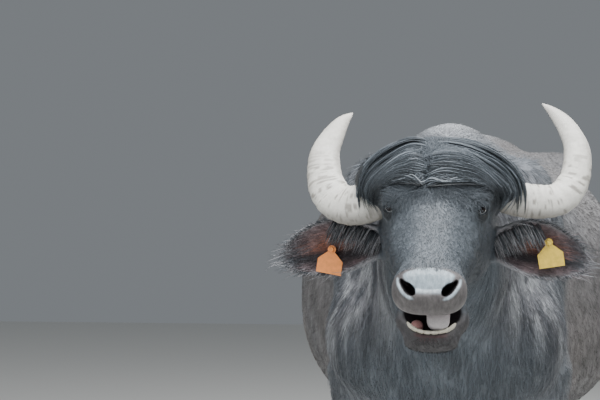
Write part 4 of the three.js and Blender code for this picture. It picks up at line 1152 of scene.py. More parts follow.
def streaked(tree, shader, tone, vector, scale, shades, bump, depth):
    """Colour times a streak of noise, with the same streak as relief."""
    streak = add(tree, "ShaderNodeTexNoise", Vector=vector, Scale=scale, Detail=3.0, Roughness=0.6)
    fac = streak.outputs["Fac"]
    low, high = shades
    level = add(tree, "ShaderNodeMapRange", Value=fac, From_Min=0.3, From_Max=0.7, To_Min=low, To_Max=high)
    color = add(tree, "ShaderNodeVectorMath", {"operation": "SCALE"}, _0=tone, Scale=level.outputs["Result"])
    relief = add(tree, "ShaderNodeBump", Height=fac, Strength=bump, Distance=depth)
    tree.links.new(color.outputs["Vector"], shader.inputs["Base Color"])
    tree.links.new(relief.outputs["Normal"], shader.inputs["Normal"])


def streaked_look(name, color, scale, shades, bump, depth, stretch=None, **sockets):
    """A streaked material of one colour, or of the tones that the mesh stores where the colour is None."""
    made, tree, shader = material(name, **sockets)
    place = add(tree, "ShaderNodeNewGeometry").outputs["Position"]
    if stretch:
        stretched = add(tree, "ShaderNodeVectorMath", {"operation": "MULTIPLY"}, _0=place, _1=stretch)
        place = stretched.outputs["Vector"]
    tone = color or stored(tree, "tone").outputs["Color"]
    streaked(tree, shader, tone, place, scale, shades, bump, depth)
    return made


def skin_material():
    made, tree, shader = material("coat", Specular_IOR_Level=0.3)
    tone, lie, wet = (stored(tree, name) for name in ("tone", "lie", "wet"))
    streaked(tree, shader, tone.outputs["Color"], lie.outputs["Vector"], 1.0, (0.72, 1.25), 0.5, 0.004)
    rough = add(tree, "ShaderNodeMapRange", Value=wet.outputs["Fac"], To_Min=0.6, To_Max=0.16)
    tree.links.new(rough.outputs["Result"], shader.inputs["Roughness"])
    return made


def hair_look(name, rough):
    return streaked_look(name, None, 300.0, (0.82, 1.18), 0.2, 0.001, Specular_IOR_Level=0.3, Roughness=rough)


FIELD_OF_KIND = {"FLOAT_COLOR": "color", "FLOAT": "value", "FLOAT_VECTOR": "vector"}


def store(made, name, kind, values):
    """Stores a value for each point of a mesh under a name."""
    layer = made.data.attributes.new(name, kind, "POINT")
    layer.data.foreach_set(FIELD_OF_KIND[kind], np.asarray(values, float).ravel())


def store_tones(made, tones):
    store(made, "tone", "FLOAT_COLOR", np.column_stack((tones, np.ones(len(tones)))))


def set_uv(made, uv):
    """The map that the coat's colours are kept on, given for each point."""
    layer = made.data.uv_layers.new(name="OFBake")
    index = np.empty(len(made.data.loops), dtype=np.int32)
    made.data.loops.foreach_get("vertex_index", index)
    layer.data.foreach_set("uv", uv[index].ravel())


def skin_normals():
    flat = np.empty(len(skin.data.vertices) * 3)
    skin.data.vertices.foreach_get("normal", flat)
    return flat.reshape(-1, 3)


def lie_coordinates(p):
    """Places for the streaked noise: slow along the hair, quick across it."""
    x, y, z = p.T
    f, s, u = to_head(p)
    body = np.stack((x, y * 0.69 + z * 0.72, (y * 0.72 - z * 0.69) * 0.1), axis=1)
    hanging = np.stack((x, y + 560, (z - 950) * 0.1), axis=1)
    spots = mix(body - (0, 297, -106), hanging, neck_share(y))
    spots = mix(spots, hanging, leg_share(z))
    face = np.stack((s * 0.8, f * 0.35, u * 0.4), axis=1)
    return mix(spots, face, head_share(f, s, u)) * 0.16


UNDER_HAIR = 0.84  # how much darker the skin is where hair covers it

skin_places = mesh_points(skin.data)
skin_outward = skin_normals()
store_tones(skin, coat_tone(skin_places) * np.where(hairiness(skin_places), UNDER_HAIR, 1)[:, None])
store(skin, "wet", "FLOAT", wetness(skin_places))
store(skin, "lie", "FLOAT_VECTOR", lie_coordinates(skin_places))
skin.data.materials.append(skin_material())

# Hair as closed, tapered tufts

SHORT_HAIR = hair_look("short_hair", 0.55)
LONG_HAIR = hair_look("long_hair", 0.45)
SPIKE_CORNERS = ((1, -0.35), (0, 0.7), (-1, -0.35))  # across and over, in half widths
PATCH = 0.003  # of the map across, for each tuft


def skin_triangles():
    skin.data.calc_loop_triangles()
    flat = np.empty(len(skin.data.loop_triangles) * 3, dtype=np.int32)
    skin.data.loop_triangles.foreach_get("vertices", flat)
    return flat.reshape(-1, 3)


SKIN_TRIANGLES = skin_triangles()


def scatter(count, weight, random):
    """Random places on the skin and the way out of it there. The weight says how thickly they are set."""
    a, b, c = (skin_places[SKIN_TRIANGLES[:, i]] for i in range(3))
    area = np.linalg.norm(np.cross(b - a, c - a), axis=1) / 2
    middle = (a + b + c) / 3
    share = np.cumsum(area * weight(middle) * hairiness(middle))
    pick = np.searchsorted(share, random.random(count) * share[-1])
    pick = np.minimum(pick, len(area) - 1)
    r1, r2 = np.sqrt(random.random(count)), random.random(count)
    parts = np.stack((1 - r1, r1 * (1 - r2), r1 * r2), axis=1)[:, :, None]
    corners = SKIN_TRIANGLES[pick]
    place = (skin_places[corners] * parts).sum(axis=1)
    normal = unit((skin_outward[corners] * parts).sum(axis=1))
    keep = hairiness(place)
    return place[keep], normal[keep]


def strands(name, paths, across, widths, tones, roots_uv, look):
    """Closed three-sided spikes along paths: points and sideways directions (n, k, 3), half widths (n, k)."""
    n, k = paths.shape[:2]
    ahead = unit(np.gradient(paths, axis=1))
    over = unit(np.cross(ahead, across))
    across = np.cross(over, ahead)
    verts = np.empty((n, 3 * (k - 1) + 1, 3))
    for corner, (a, o) in enumerate(SPIKE_CORNERS):
        offset = (across * a + over * o) * widths[:, :, None]
        verts[:, corner : 3 * (k - 1) : 3] = (paths + offset)[:, :-1]
    verts[:, -1] = paths[:, -1]
    one = [(0, 1, 2)]
    for ring in range(k - 2):
        for corner in range(3):
            low, high = 3 * ring + corner, 3 * ring + (corner + 1) % 3
            one += [(low, low + 3, high), (high, low + 3, high + 3)]
    last = 3 * (k - 2)
    one += [(last + corner, 3 * (k - 1), last + (corner + 1) % 3) for corner in range(3)]
    each = verts.shape[1]
    faces = (np.array(one)[None] + (np.arange(n) * each)[:, None, None]).reshape(-1, 3)
    made = make_mesh(name, verts.reshape(-1, 3), faces)
    store_tones(made, np.repeat(tones, each, axis=0))
    spread = np.linspace(-PATCH / 2, PATCH / 2, each)
    patch = np.stack((spread, spread[::-1] * np.tile((1, -1), each)[:each]), axis=1)
    set_uv(made, (roots_uv[:, None] + patch[None]).reshape(-1, 2))
    made.data.materials.append(look)
    return made


def tufts(
    name,
    place,
    normal,
    length,
    width,
    lift,
    random,
    points=3,
    stray=0.25,
    tone_spread=0.35,
    bright=1.06,
    taper=None,
):
    """Tufts on the skin that follow the lie of the coat. Sizes are one for all or one for each."""
    n = len(place)
    length, width, lift = (
        np.broadcast_to(size, n) * lerp(0.75, 1.25, random.random(n)) for size in (length, width, lift)
    )
    way = lie_of(place, normal)
    side = np.cross(normal, way)
    way = unit(way + side * (random.standard_normal(n) * stray)[:, None])
    side = np.cross(normal, way)
    bend = random.standard_normal(n) * 0.12
    t = np.linspace(0, 1, points)[None, :, None]
    paths = place[:, None] + way[:, None] * (t * length[:, None, None])
    paths = paths + normal[:, None] * (lift[:, None, None] * np.sin(t * 1.9) - 1.5 * (1 - t) ** 2)
    paths = paths + side[:, None] * ((bend * length)[:, None, None] * t * t)
    widths = width[:, None] / 2 * (taper or np.linspace(1, 0, points) ** 0.7)
    tones = coat_tone(place + normal * 0.5) * bright
    tones = shaded(tones, 1 - tone_spread / 2, 1 + tone_spread / 2, random.random(n))
    across = np.repeat(side[:, None], points, axis=1)
    strands(name, paths, across, widths, np.clip(tones, *TONE_RANGE), unwrap(place), SHORT_HAIR)


# How many tufts each coat has
TUFTS = {
    "body": 12600,
    "legs": 13000,
    "face": 18500,
    "brow": 1500,
    "chest": 10800,
    "spine": 5000,
    "ears": 6500,
}
BODY_COATS = 4
CURL_TAPER = (1, 0.85, 0.5, 0.25, 0)


def on_ears(p):
    return ear_masks(p)[0]


def on_head(p):
    return head_share(*to_head(p))


def on_legs(p):
    return smoothstep(620 - p[:, 2], 0, 60) * (np.abs(p[:, 0]) > 60)


def on_body(p):
    return (1 - on_head(p)) * (1 - on_legs(p)) * (1 - on_ears(p) * 0.9)


def on_face(p):
    s = to_head(p)[1]
    return on_head(p) * (1 - on_ears(p) * 0.85) * (1 + 2 * smoothstep(90 - np.abs(s), 0, 70))


def on_brow_edge(p):
    f, s, u = to_head(p)
    band = smoothstep(f, -45, -22) * (1 - smoothstep(f, 22, 48)) * smoothstep(u, -60, -10)
    return on_head(p) * band * smoothstep(120 - np.abs(s), 0, 30)


def on_chest(p):
    return (1 - on_head(p)) * smoothstep(-p[:, 1], 430, 560) * smoothstep(p[:, 2], 560, 640)


def on_spine(p):
    x, y, z = p.T
    return smoothstep(z, 1265, 1320) * smoothstep(90 - np.abs(x), 0, 50) * (y > -640)


def make_coat():
    random = np.random.default_rng(SEED)
    share = 1

    def rooted(part, weight):
        return scatter(int(TUFTS[part] * share), weight, random)

    for number in range(BODY_COATS):
        place, normal = rooted("body", on_body)
        neck = neck_share(place[:, 1])
        length, width = lerp(19, 30, neck), lerp(1.9, 2.1, neck)
        tufts(f"coat_{number + 1}", place, normal, length, width, 2.4, random, stray=0.2)
    place, normal = rooted("legs", on_legs)
    high = smoothstep(place[:, 2], 80, 500)
    tufts("coat_legs", place, normal, lerp(9, 18, high), lerp(1.4, 1.9, high), lerp(1.5, 2.4, high), random)
    place, normal = rooted("face", on_face)
    f, s, u = to_head(place)
    brow = smoothstep(-f, -60, 10) * smoothstep(110 - np.abs(s), 0, 40) * smoothstep(u, -60, -10)
    sizes = lerp(12, 19, brow), lerp(1.5, 1.8, brow), lerp(0.8, 4, brow)
    tufts("coat_face", place, normal, *sizes, random, stray=0.25 + 0.5 * brow, bright=1.2)
    place, normal = rooted("brow", on_brow_edge)
    tufts("coat_brow", place, normal, 36, 1.5, 5, random, points=5, stray=0.7, bright=1.15, taper=CURL_TAPER)
    place, normal = rooted("chest", on_chest)
    tufts("coat_chest", place, normal, 52, 2.1, 2.2, random, points=4, stray=0.06, tone_spread=0.7)
    place, normal = rooted("spine", on_spine)
    withers = smoothstep(-place[:, 1], 250, 420)
    sizes = lerp(18, 24, withers), 1.4, lerp(3, 5, withers)
    tufts("coat_ridge", place, normal, *sizes, random, points=4, stray=0.6)
    place, normal = rooted("ears", on_ears)
    tufts("coat_ears", place, normal, 13, 1.4, 2, random)


make_coat()

RIM_HAIRS = 540
HOLLOW_HAIRS = 330
FRINGE_POINTS = 5


def ear_fringe():
    """Hair on the rim of each ear, and the long hair that hangs over its hollow from the upper edge."""
    random = np.random.default_rng(SEED + 1)
    for side, word in EACH_SIDE:
        out, up, front = ear_frame(side)[1].T
        t = random.random(RIM_HAIRS) ** 0.8 * 0.9 + 0.06
        edge = np.where(random.random(RIM_HAIRS) < 0.62, 1.0, -1.0)
        rim_root = ear_point(side, t, edge, -1.5)
        turned_out = out * 0.8 + up * (edge * 0.7)[:, None]
        rim_way = unit(turned_out + front * (random.standard_normal(RIM_HAIRS) * 0.25)[:, None])
        rim_length = lerp(8, 15, random.random(RIM_HAIRS))
        t = 0.06 + 0.48 * random.random(HOLLOW_HAIRS) ** 1.2
        root = ear_point(side, t, lerp(0.98, 0.43, random.random(HOLLOW_HAIRS)), 1.0)
        hanging = out * lerp(0.25, 0.75, random.random(HOLLOW_HAIRS))[:, None] - up
        way = unit(hanging + front * lerp(0.25, 0.55, random.random(HOLLOW_HAIRS))[:, None])
        length = 34 + 34 * random.random(HOLLOW_HAIRS) * (1 - t)
        root, way = np.concatenate((rim_root, root)), np.concatenate((rim_way, way))
        length = np.concatenate((rim_length, length))[:, None, None]
        along = np.linspace(0, 1, FRINGE_POINTS)[None, :, None]
        paths = root[:, None] + way[:, None] * along * length - up * (length * 0.16) * along**2
        paths = paths + front * (np.sin(along * 2.6) * 5)
        widths = lerp(1.5, 0.25, along[0, :, 0]) * lerp(0.7, 1.2, random.random(len(root)))[:, None]
        pale = smoothstep(random.random(len(root)), 0.3, 0.8)
        across = np.broadcast_to(front, paths.shape) + 0.01
        tones = mix(SLATE * 0.5, EAR_RIM, pale)
        strands(f"ear_fringe_{word}", paths, across, widths, tones, unwrap(root), LONG_HAIR)


ear_fringe()

# Solids made of rings


def turns(sides):
    """Angles at even steps round a ring."""
    return np.arange(sides) / sides * 2 * math.pi


def ring_faces(count, sides):
    """Triangles of a closed solid: its points are those of each ring, then the middles of its two ends."""
    i, j = np.meshgrid(np.arange(count - 1), np.arange(sides), indexing="ij")
    a, b = i * sides + j, i * sides + (j + 1) % sides
    corners = ((a, b, b + sides), (a, b + sides, a + sides))
    walls = [np.stack(corner, axis=-1).reshape(-1, 3) for corner in corners]
    a, b = a[0], b[0]
    top = (count - 1) * sides
    first = np.stack((np.full(sides, count * sides), b, a), axis=1)
    last = np.stack((np.full(sides, count * sides + 1), top + a, top + b), axis=1)
    return np.concatenate((*walls, first, last))


def joined(name, solids, count, sides):
    """One object from several solids of equal rings."""
    step = count * sides + 2
    faces = [ring_faces(count, sides) + number * step for number in range(len(solids))]
    return make_mesh(name, np.concatenate(solids), np.concatenate(faces))


def per_point(values, sides):
    """Values along a swept solid, given to each of its points."""
    return np.concatenate((np.repeat(values, sides, axis=0), values[:1], values[-1:]))


def swept(points, side, wide, deep, sides):
    """Points of a solid swept along a line. The side gives the direction of its width."""
    ahead = unit(np.gradient(points, axis=0))
    across = unit(side - ahead * (ahead @ side)[:, None])
    over = unit(np.cross(ahead, across))
    angle = turns(sides)
    ring = np.cos(angle)[None, :, None] * (across * wide[:, None])[:, None]
    ring = ring + np.sin(angle)[None, :, None] * (over * deep[:, None])[:, None]
    return np.concatenate(((points[:, None] + ring).reshape(-1, 3), points[:1], points[-1:]))


def roughened(verts, middle, size, seed):
    return verts + unit(verts - middle) * ((noise(verts, size, seed) - 0.5) * 0.9)[:, None]


# Horns. Each middle line says how far out, back and up it lies from the middle between the eyes

HORN_LINES = {
    1: (
        (92, 160, 223, 276, 308, 318, 314, 292, 262, 232),
        (98, 104, 126, 149, 170, 190, 212, 234, 254, 272),
        (40, 19, 8, 13, 48, 91, 134, 177, 210, 233),
    ),
    -1: (
        (92, 150, 205, 243, 268, 277, 276, 262, 241, 217),
        (96, 100, 112, 130, 154, 180, 202, 224, 250, 272),
        (34, 8, -3, 8, 42, 82, 116, 152, 187, 210),
    ),
}
HORN_WIDE = {1: 42.0, -1: 49.0}  # half the broad face where it is broadest
HORN_DEEP = 25.0
HORN_RIDGES = 22
HORN_STEPS = 250
HORN_SIDES = 44
HORN_PALE = np.array((0.72, 0.71, 0.66))
HORN_GREY = np.array((0.4, 0.385, 0.35))
HORN_DARK = np.array((0.12, 0.105, 0.09))
HORN_LOOK = streaked_look("keratin", None, 160.0, (0.9, 1.08), 0.25, 0.001, Roughness=0.42)


def horn_points(side, count):
    out, back, up = np.array(HORN_LINES[side], float)
    return smooth_curve(HEAD_PLACE + np.stack((side * out, back, up), axis=1), count)


def horn_tone(verts, outward, along):
    """Pale keratin with broken dark rings near the root and greyer towards the tip, with painted shade
    underneath and on the sides.
    """
    x, y, z = verts.T
    tone = shaded(HORN_PALE, 0.86, 1.06, noise(verts, 34, 34))
    layers = np.stack((along * 520 + 6 * noise(verts, 40, 36), y * 0.25, x * 0.05 + z * 0.05), axis=1)
    ring = smoothstep(noise(layers, 3.4, 32), 0.5, 0.62) * smoothstep(noise(verts, 11, 33), 0.44, 0.6)
    zone = smoothstep(along, 0.1, 0.2) * (1 - smoothstep(along, 0.55, 0.75))
    tone = mix(tone, lerp(HORN_GREY, HORN_DARK, 0.4), ring * zone * 0.9)
    tone = mix(tone, HORN_GREY, smoothstep(along, 0.45, 1) * 0.42 * (0.4 + noise(verts, 30, 35)))
    # painted shade on the underside of the horn, towards its root
    under = smoothstep(-outward[:, 2], 0.35, 0.95) * (1 - smoothstep(along, 0.4, 0.62))
    tone = mix(tone, HORN_DARK, under * 0.75)
    # painted shade on the faces of the horn that turn to the animal's sides
    edge = smoothstep(np.abs(outward[:, 0]) * smoothstep(along, 0.3, 0.5), 0.8, 1)
    tone = mix(tone, HORN_GREY, edge * 0.6)
    return mix(tone, HORN_DARK, (1 - smoothstep(along, 0.05, 0.16)) * 0.6)


def horn(side, word):
    points = horn_points(side, HORN_STEPS)
    t = np.linspace(0, 1, HORN_STEPS)
    taper = 0.93 * (1 - t**2.6) ** 0.75 + 0.07 * (1 - t**12)
    ridged = smoothstep(t, 0.08, 0.2) * (1 - smoothstep(t, 0.5, 0.72))
    wave = np.sin(t**0.85 * HORN_RIDGES * 2 * math.pi + 1.3 * np.sin(t * 19))
    girth = taper * smoothstep(t, -0.2, 0.18) * (1 + 0.012 * wave * ridged + 0.01 * np.sin(t * 31))
    broad_way = unit(np.array((0, 1, -0.35)))
    verts = swept(points, broad_way, HORN_DEEP * girth, HORN_WIDE[side] * girth, HORN_SIDES)
    middle = per_point(points, HORN_SIDES)
    verts = roughened(verts, middle, 9, 31)
    made = make_mesh(f"horn_{word}_keratin", verts, ring_faces(HORN_STEPS, HORN_SIDES))
    store_tones(made, horn_tone(verts, unit(verts - middle), per_point(t, HORN_SIDES)))
    made.data.materials.append(HORN_LOOK)
    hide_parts(f"horn_{word}")


for side, word in EACH_SIDE:
    horn(side, word)

# Forelock: locks of fine strands that part over the crown and sweep down over the roots of the horns.
# Angles are degrees from the top, and radii are taken from the middle between the eyes

CROWN = {
    1: Stations((0, 168), (30, 173), (60, 200), (75, 211), (92, 203), (110, 196)),
    -1: Stations((0, 168), (30, 176), (60, 194), (80, 191), (92, 187), (110, 182)),
}
BROW_EDGE = Stations((0, 60), (24, 66), (39, 86), (56, 113), (70, 128), (90, 134), (110, 130))
POLL_EDGE = Stations((0, 126), (40, 128), (70, 140), (90, 150), (110, 150))
CROWN_MIDDLE_X = 20.0
# How far behind the eyes a row starts, from the poll to the brow, at the top and at the sides
TOP_BACK = Stations((0, 188), (0.5, 66), (1, -34))
SIDE_BACK = Stations((0, 128), (0.5, 84), (1, 42))
# The same for the brow's row, by angle
BROW_BACK = Stations((0, -50), (38, -38), (57, -15), (65, -2), (75, 24), (84, 42), (110, 42))
LOCKS = 160
STRANDS_IN_LOCK = 12
STRAND_POINTS = 13
GOLDEN = 0.61803  # sets each lock's row well away from those before it
LOWER_LAYER = 0.88  # locks under this share of the radius are shorter, and darker as painted shade under the top layer


def hair_place(side, row, angle, layer):
    """A point on the dome of hair. The row runs from the poll (0) to the brow (1)."""
    crest = CROWN[side](angle)[0]
    edge = np.where(row < 0.5, POLL_EDGE(angle)[0], BROW_EDGE(angle)[0])
    over = np.sqrt(np.maximum(1 - (2 * row - 1) ** 2, 0))
    radius = lerp(edge, crest, over) * layer
    turn = np.radians(angle)
    back = lerp(TOP_BACK(row)[0], SIDE_BACK(row)[0], smoothstep(angle, 8, 84))
    back = lerp(back, BROW_BACK(angle)[0], smoothstep(row, 0.5, 1))
    x = HEAD_PLACE[0] - CROWN_MIDDLE_X * (1 - smoothstep(angle, 0, 40)) + side * radius * np.sin(turn)
    z = HEAD_PLACE[2] + radius * np.cos(turn) - 4
    return np.stack((x, HEAD_PLACE[1] + back, z), axis=-1)


def keep_off(points, margin, hug):
    """Pushes points out of the flesh, and draws those with hug above 0 down onto it."""
    flat = points.reshape(-1, 3).copy()
    margin, hug = margin.ravel(), hug.ravel()
    for _ in range(3):
        d = flesh(flat)
        close = (d < margin) | (hug > 0.02)
        share = np.where(d < margin, 1, hug)[close]
        g = gradient(flesh, flat[close])
        g = g / np.maximum((g * g).sum(axis=1, keepdims=True), 0.2)
        flat[close] += g * (share * np.maximum(margin[close] - d[close], -25))[:, None]
    return flat.reshape(points.shape)


def forelock(side, word):
    random = np.random.default_rng(SEED + 10 + side)
    n = LOCKS * STRANDS_IN_LOCK
    lock = np.repeat(np.arange(LOCKS), STRANDS_IN_LOCK)

    def each_lock(low, high):
        return (low + (high - low) * random.random(LOCKS))[lock]

    row = (0.5 - 0.5 * np.cos(math.pi * (0.1 + 0.87 * (np.arange(LOCKS) * GOLDEN % 1))))[lock]
    layer = 1 - 0.2 * (random.random(LOCKS) ** 1.6)[lock]
    reach = lerp(66, 95, smoothstep(row, 0.02, 0.42)) - 8 * smoothstep(row, 0.8, 1)
    end = reach * each_lock(0.86, 1.02) + random.standard_normal(n) * 1.2
    end = np.where(layer < LOWER_LAYER, end * 0.9, end)
    start = each_lock(-4, 7) + random.random(n) * 3
    t = np.linspace(0, 1, STRAND_POINTS)[None]
    angle = lerp(start[:, None], end[:, None], t)
    phase, swing = each_lock(0, 6.28)[:, None], each_lock(0.35, 1)[:, None]
    wave = np.sin(t * 12 + phase) * swing
    spread = np.sin(np.clip(t * 1.15, 0, 1) * math.pi) * 0.75 + 0.25
    offset = random.standard_normal((n, 2))
    rows = np.clip(row[:, None] + wave * 0.026 + offset[:, :1] * 0.013 * spread, 0, 1)
    layers = layer[:, None] * lerp(0.9, 1, smoothstep(t, 0, 0.16))
    layers = layers + offset[:, 1:] * 0.012 * spread + wave * 0.02
    paths = hair_place(side, rows, angle, layers)
    hug = np.broadcast_to(smoothstep(row, 0.58, 0.86)[:, None], (n, STRAND_POINTS))
    margin = lerp(-2, 4, smoothstep(t, 0, 0.2)) + 5 * (layer * random.random(n))[:, None] * hug
    paths = keep_off(paths, margin, hug)
    for _ in range(2):
        paths[:, 1:-1] = paths[:, 1:-1] / 2 + (paths[:, :-2] + paths[:, 2:]) / 4
    outward = paths - (HEAD_PLACE + (0, 90, -30))
    across = unit(np.cross(np.gradient(paths, axis=1), outward))
    widths = 1.55 * lerp(1.0, 0.16, smoothstep(t, 0.45, 1)) * lerp(0.7, 1.3, random.random(n))[:, None]
    shade = each_lock(0.6, 1.3) * lerp(0.85, 1.15, random.random(n))
    # painted shade: strands at the edges of each lock are darker, for the shade between locks
    shade = shade * (1.12 - 0.32 * np.minimum(np.abs(offset[:, 0]), 1.8))
    tones = mix(SLATE * 0.95, SLATE_PALE, 0.5 * smoothstep(shade, 1.05, 1.6))
    # painted shade: the lower layer is darker beneath the top locks; the rows at the brow's edge are darker
    # too
    depth = np.where(layer < LOWER_LAYER, 0.55, 1) * (1 - 0.3 * smoothstep(row, 0.86, 0.96))
    tones = np.clip(tones * (np.minimum(shade, 1.25) * depth)[:, None], 0.01, 0.8)
    uv = unwrap(paths[:, 0])
    made = strands(f"forelock_{word}", paths, across, widths, tones, uv, LONG_HAIR)
    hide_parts("forelock")


for side, word in EACH_SIDE:
    forelock(side, word)

# Tail switch

TAIL_HAIRS = 420
TAIL_HAIR_POINTS = 8
SWITCH_TOP = 690
SWITCH_TIP = 384


def tail_switch():
    random = np.random.default_rng(SEED + 20)
    n = TAIL_HAIRS
    angle = random.random(n) * 2 * math.pi
    out = np.stack((np.cos(angle), np.sin(angle), 0 * angle), axis=1)
    top = SWITCH_TOP - 130 * random.random(n) ** 1.5
    length = np.minimum(lerp(170, 290, random.random(n)), top - SWITCH_TIP)
    line = smooth_curve(SWITCH_LINE, 40)
    t = np.linspace(0, 1, TAIL_HAIR_POINTS)[None]
    z = top[:, None] - length[:, None] * t
    middle = np.stack([np.interp(-z, -line[:, 2], line[:, axis]) for axis in (0, 1)] + [z], axis=-1)
    belly = lerp(12, 28, random.random(n))[:, None]
    reach = lerp(7, belly, np.sin(np.minimum(t * 1.4, 1) * math.pi / 2)) * (1 - 0.45 * t**2)
    wave = np.sin(t * 8 + random.random(n)[:, None] * 6.28) * 2.5 * t
    paths = middle + out[:, None] * (reach + wave)[:, :, None]
    across = np.broadcast_to(np.stack((-out[:, 1], out[:, 0], 0 * angle), axis=1)[:, None], paths.shape)
    widths = 1.7 * lerp(1, 0.15, t**1.5) * lerp(0.7, 1.3, random.random(n))[:, None]
    tones = shaded(SLATE_DARK, 0.6, 1.5, random.random(n))
    made = strands("tail_hair", paths, across, widths, tones, unwrap(paths[:, 0]), LONG_HAIR)
    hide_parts("tail_switch")


tail_switch()

# Eyes

GAZE = unit(np.array((0.52, 0.5, 0.62)))  # of the left eye, in s, f and u
EYE_BROWN = np.array((0.014, 0.008, 0.008))
EYE_BLACK = np.array((0.002, 0.002, 0.003))
EYE_WHITE = np.array((0.78, 0.78, 0.78))
PUPIL_FLATNESS = 1.8


def ball_mesh(name, middle, radius, axes, rings, sides, shape=np.ones_like):
    """A closed ball and each point's angle from its pole. Axes are the pole's direction and two across it."""
    pole, one, two = axes
    p, a = np.meshgrid(np.linspace(0, math.pi, rings)[1:-1], turns(sides), indexing="ij")
    reach = radius * shape(p)
    spots = pole * (np.cos(p) * reach)[..., None] + one * (np.sin(p) * np.cos(a) * reach)[..., None]
    spots = spots + two * (np.sin(p) * np.sin(a) * reach)[..., None]
    tip = radius * shape(np.zeros(1))
    verts = np.concatenate((spots.reshape(-1, 3), [pole * tip], [-pole * radius])) + middle
    made = make_mesh(name, verts, ring_faces(rings - 2, sides)[:, ::-1])
    return made, np.concatenate((p.ravel(), (0, math.pi)))


def cornea(polar):
    """The clear front of the eye stands out from the ball."""
    return 1 + 0.085 * (1 - smoothstep(polar, 0.2, 0.72))


def eye(side, word):
    middle = from_head(EYE_SPOT[0], side * EYE_SPOT[1], EYE_SPOT[2])
    gaze = unit(S * (side * GAZE[0]) + F * GAZE[1] + U * GAZE[2])
    one = unit(np.cross(gaze, (0, 0, 1.0)))
    two = np.cross(gaze, one)
    made, polar = ball_mesh(f"eyeball_{word}", middle, EYE_RADIUS - 0.6, (gaze, one, two), 60, 72, cornea)
    places = mesh_points(made.data) - middle
    from_pupil = np.hypot(places @ one, (places @ two) * PUPIL_FLATNESS) / EYE_RADIUS
    tone = mix(EYE_BROWN, EYE_BLACK, 1 - smoothstep(from_pupil, 0.2, 0.27))
    tone = mix(tone, EYE_BLACK, smoothstep(polar, 0.56, 0.68))
    store_tones(made, mix(tone, EYE_WHITE, smoothstep(polar, 0.7, 0.76)))
    gloss = {"Roughness": 0.08, "Specular_IOR_Level": 0.12, "Coat_Weight": 0.12, "Coat_Roughness": 0.02}
    look, tree, shader = material(f"eye_{word}", **gloss)
    tree.links.new(stored(tree, "tone").outputs["Color"], shader.inputs["Base Color"])
    made.data.materials.append(look)
    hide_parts(f"eye_{word}")


for side, word in EACH_SIDE:
    eye(side, word)

# Tongue and teeth. Places are f, s and u with the mouth shut

TONGUE_LINE = (
    (60, 4, -130),
    (110, 8, -112),
    (155, 12, -96),
    (195, 15, -84),
    (224, 16, -88),
    (243, 16, -105),
    (249, 16, -128),
)
TONGUE_STEPS = 60
TONGUE_SIDES = 32
TONGUE_GREY = np.array((0.27, 0.2, 0.21))
TONGUE_PALE = np.array((0.44, 0.42, 0.43))


def tongue():
    points = smooth_curve(from_jaw(*np.array(TONGUE_LINE, float).T), TONGUE_STEPS)
    t = np.linspace(0, 1, TONGUE_STEPS)
    wide = 27 * np.sqrt(np.maximum(1 - t**18, 0.02)) * lerp(0.8, 1, smoothstep(t, 0, 0.4))
    deep = lerp(20, 12, t) * np.sqrt(np.maximum(1 - t**9, 0.05))
    verts = swept(points, S, wide, deep, TONGUE_SIDES)
    verts = roughened(verts, per_point(points, TONGUE_SIDES), 6, 40)
    made = make_mesh("tongue_flesh", verts, ring_faces(TONGUE_STEPS, TONGUE_SIDES))
    tone = mix(TONGUE_GREY, TONGUE_PALE, smoothstep(per_point(t, TONGUE_SIDES), 0.62, 0.95))
    store_tones(made, shaded(tone, 0.85, 1.15, noise(verts, 8, 41)))
    gloss = {"Roughness": 0.3, "Coat_Weight": 0.3, "Coat_Roughness": 0.2}
    made.data.materials.append(streaked_look("tongue", None, 420.0, (0.85, 1.12), 0.5, 0.001, **gloss))
    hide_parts("tongue")


def floor_of_mouth():
    """The pink mound beside the tongue."""
    made = ball_mesh("mouth_mound", from_jaw(239, -33, -126), 15.0, (U, S, np.cross(U, S)), 18, 24)[0]
    look = streaked_look("mound", (0.5, 0.25, 0.24), 300.0, (0.8, 1.1), 0.3, 0.001, Roughness=0.3)
    made.data.materials.append(look)


TEETH = 8
ARCH = 1.12  # radians of the row of teeth to each side
TOOTH_SIDES = 12
TOOTH_SQUARENESS = 0.55
# Height, half width and half depth of each ring of a tooth
TOOTH_RINGS = ((-14, 5, 3.2), (-7, 8, 4.2), (-1, 9.8, 3.8), (2, 9.7, 2.8), (3.4, 8.4, 1.2))
TOOTH_ROOT = -14
TOOTH_TOP = 3.9


def tooth(angle):
    spot = from_jaw(226 + 34 * math.cos(angle), 54 * math.sin(angle), -117)
    along = unit(S * math.cos(angle * 0.8) - F * math.sin(angle * 0.8))
    ahead = unit(F * math.cos(angle * 0.8) + S * math.sin(angle * 0.8))
    around = np.stack((np.cos(turns(TOOTH_SIDES)), np.sin(turns(TOOTH_SIDES))))
    x, y = np.copysign(np.abs(around) ** TOOTH_SQUARENESS, around)[..., None]
    rings = []
    for up, wide, deep in TOOTH_RINGS:
        rings.append(spot + along * x * wide + ahead * (y * deep + up * 0.25) + U * up)
    return np.concatenate((*rings, [spot + U * TOOTH_ROOT, spot + U * TOOTH_TOP + ahead]))


def teeth():
    solids = [tooth(angle) for angle in np.linspace(-ARCH, ARCH, TEETH)]
    made = joined("front_teeth", solids, len(TOOTH_RINGS), TOOTH_SIDES)
    look = streaked_look("tooth", (0.78, 0.74, 0.62), 200.0, (0.85, 1.06), 0.15, 0.0008, Roughness=0.25)
    made.data.materials.append(look)


tongue()
floor_of_mouth()
teeth()

# Hooves. Each ring of a claw has a height, its share of the full outline and how far ahead it lies

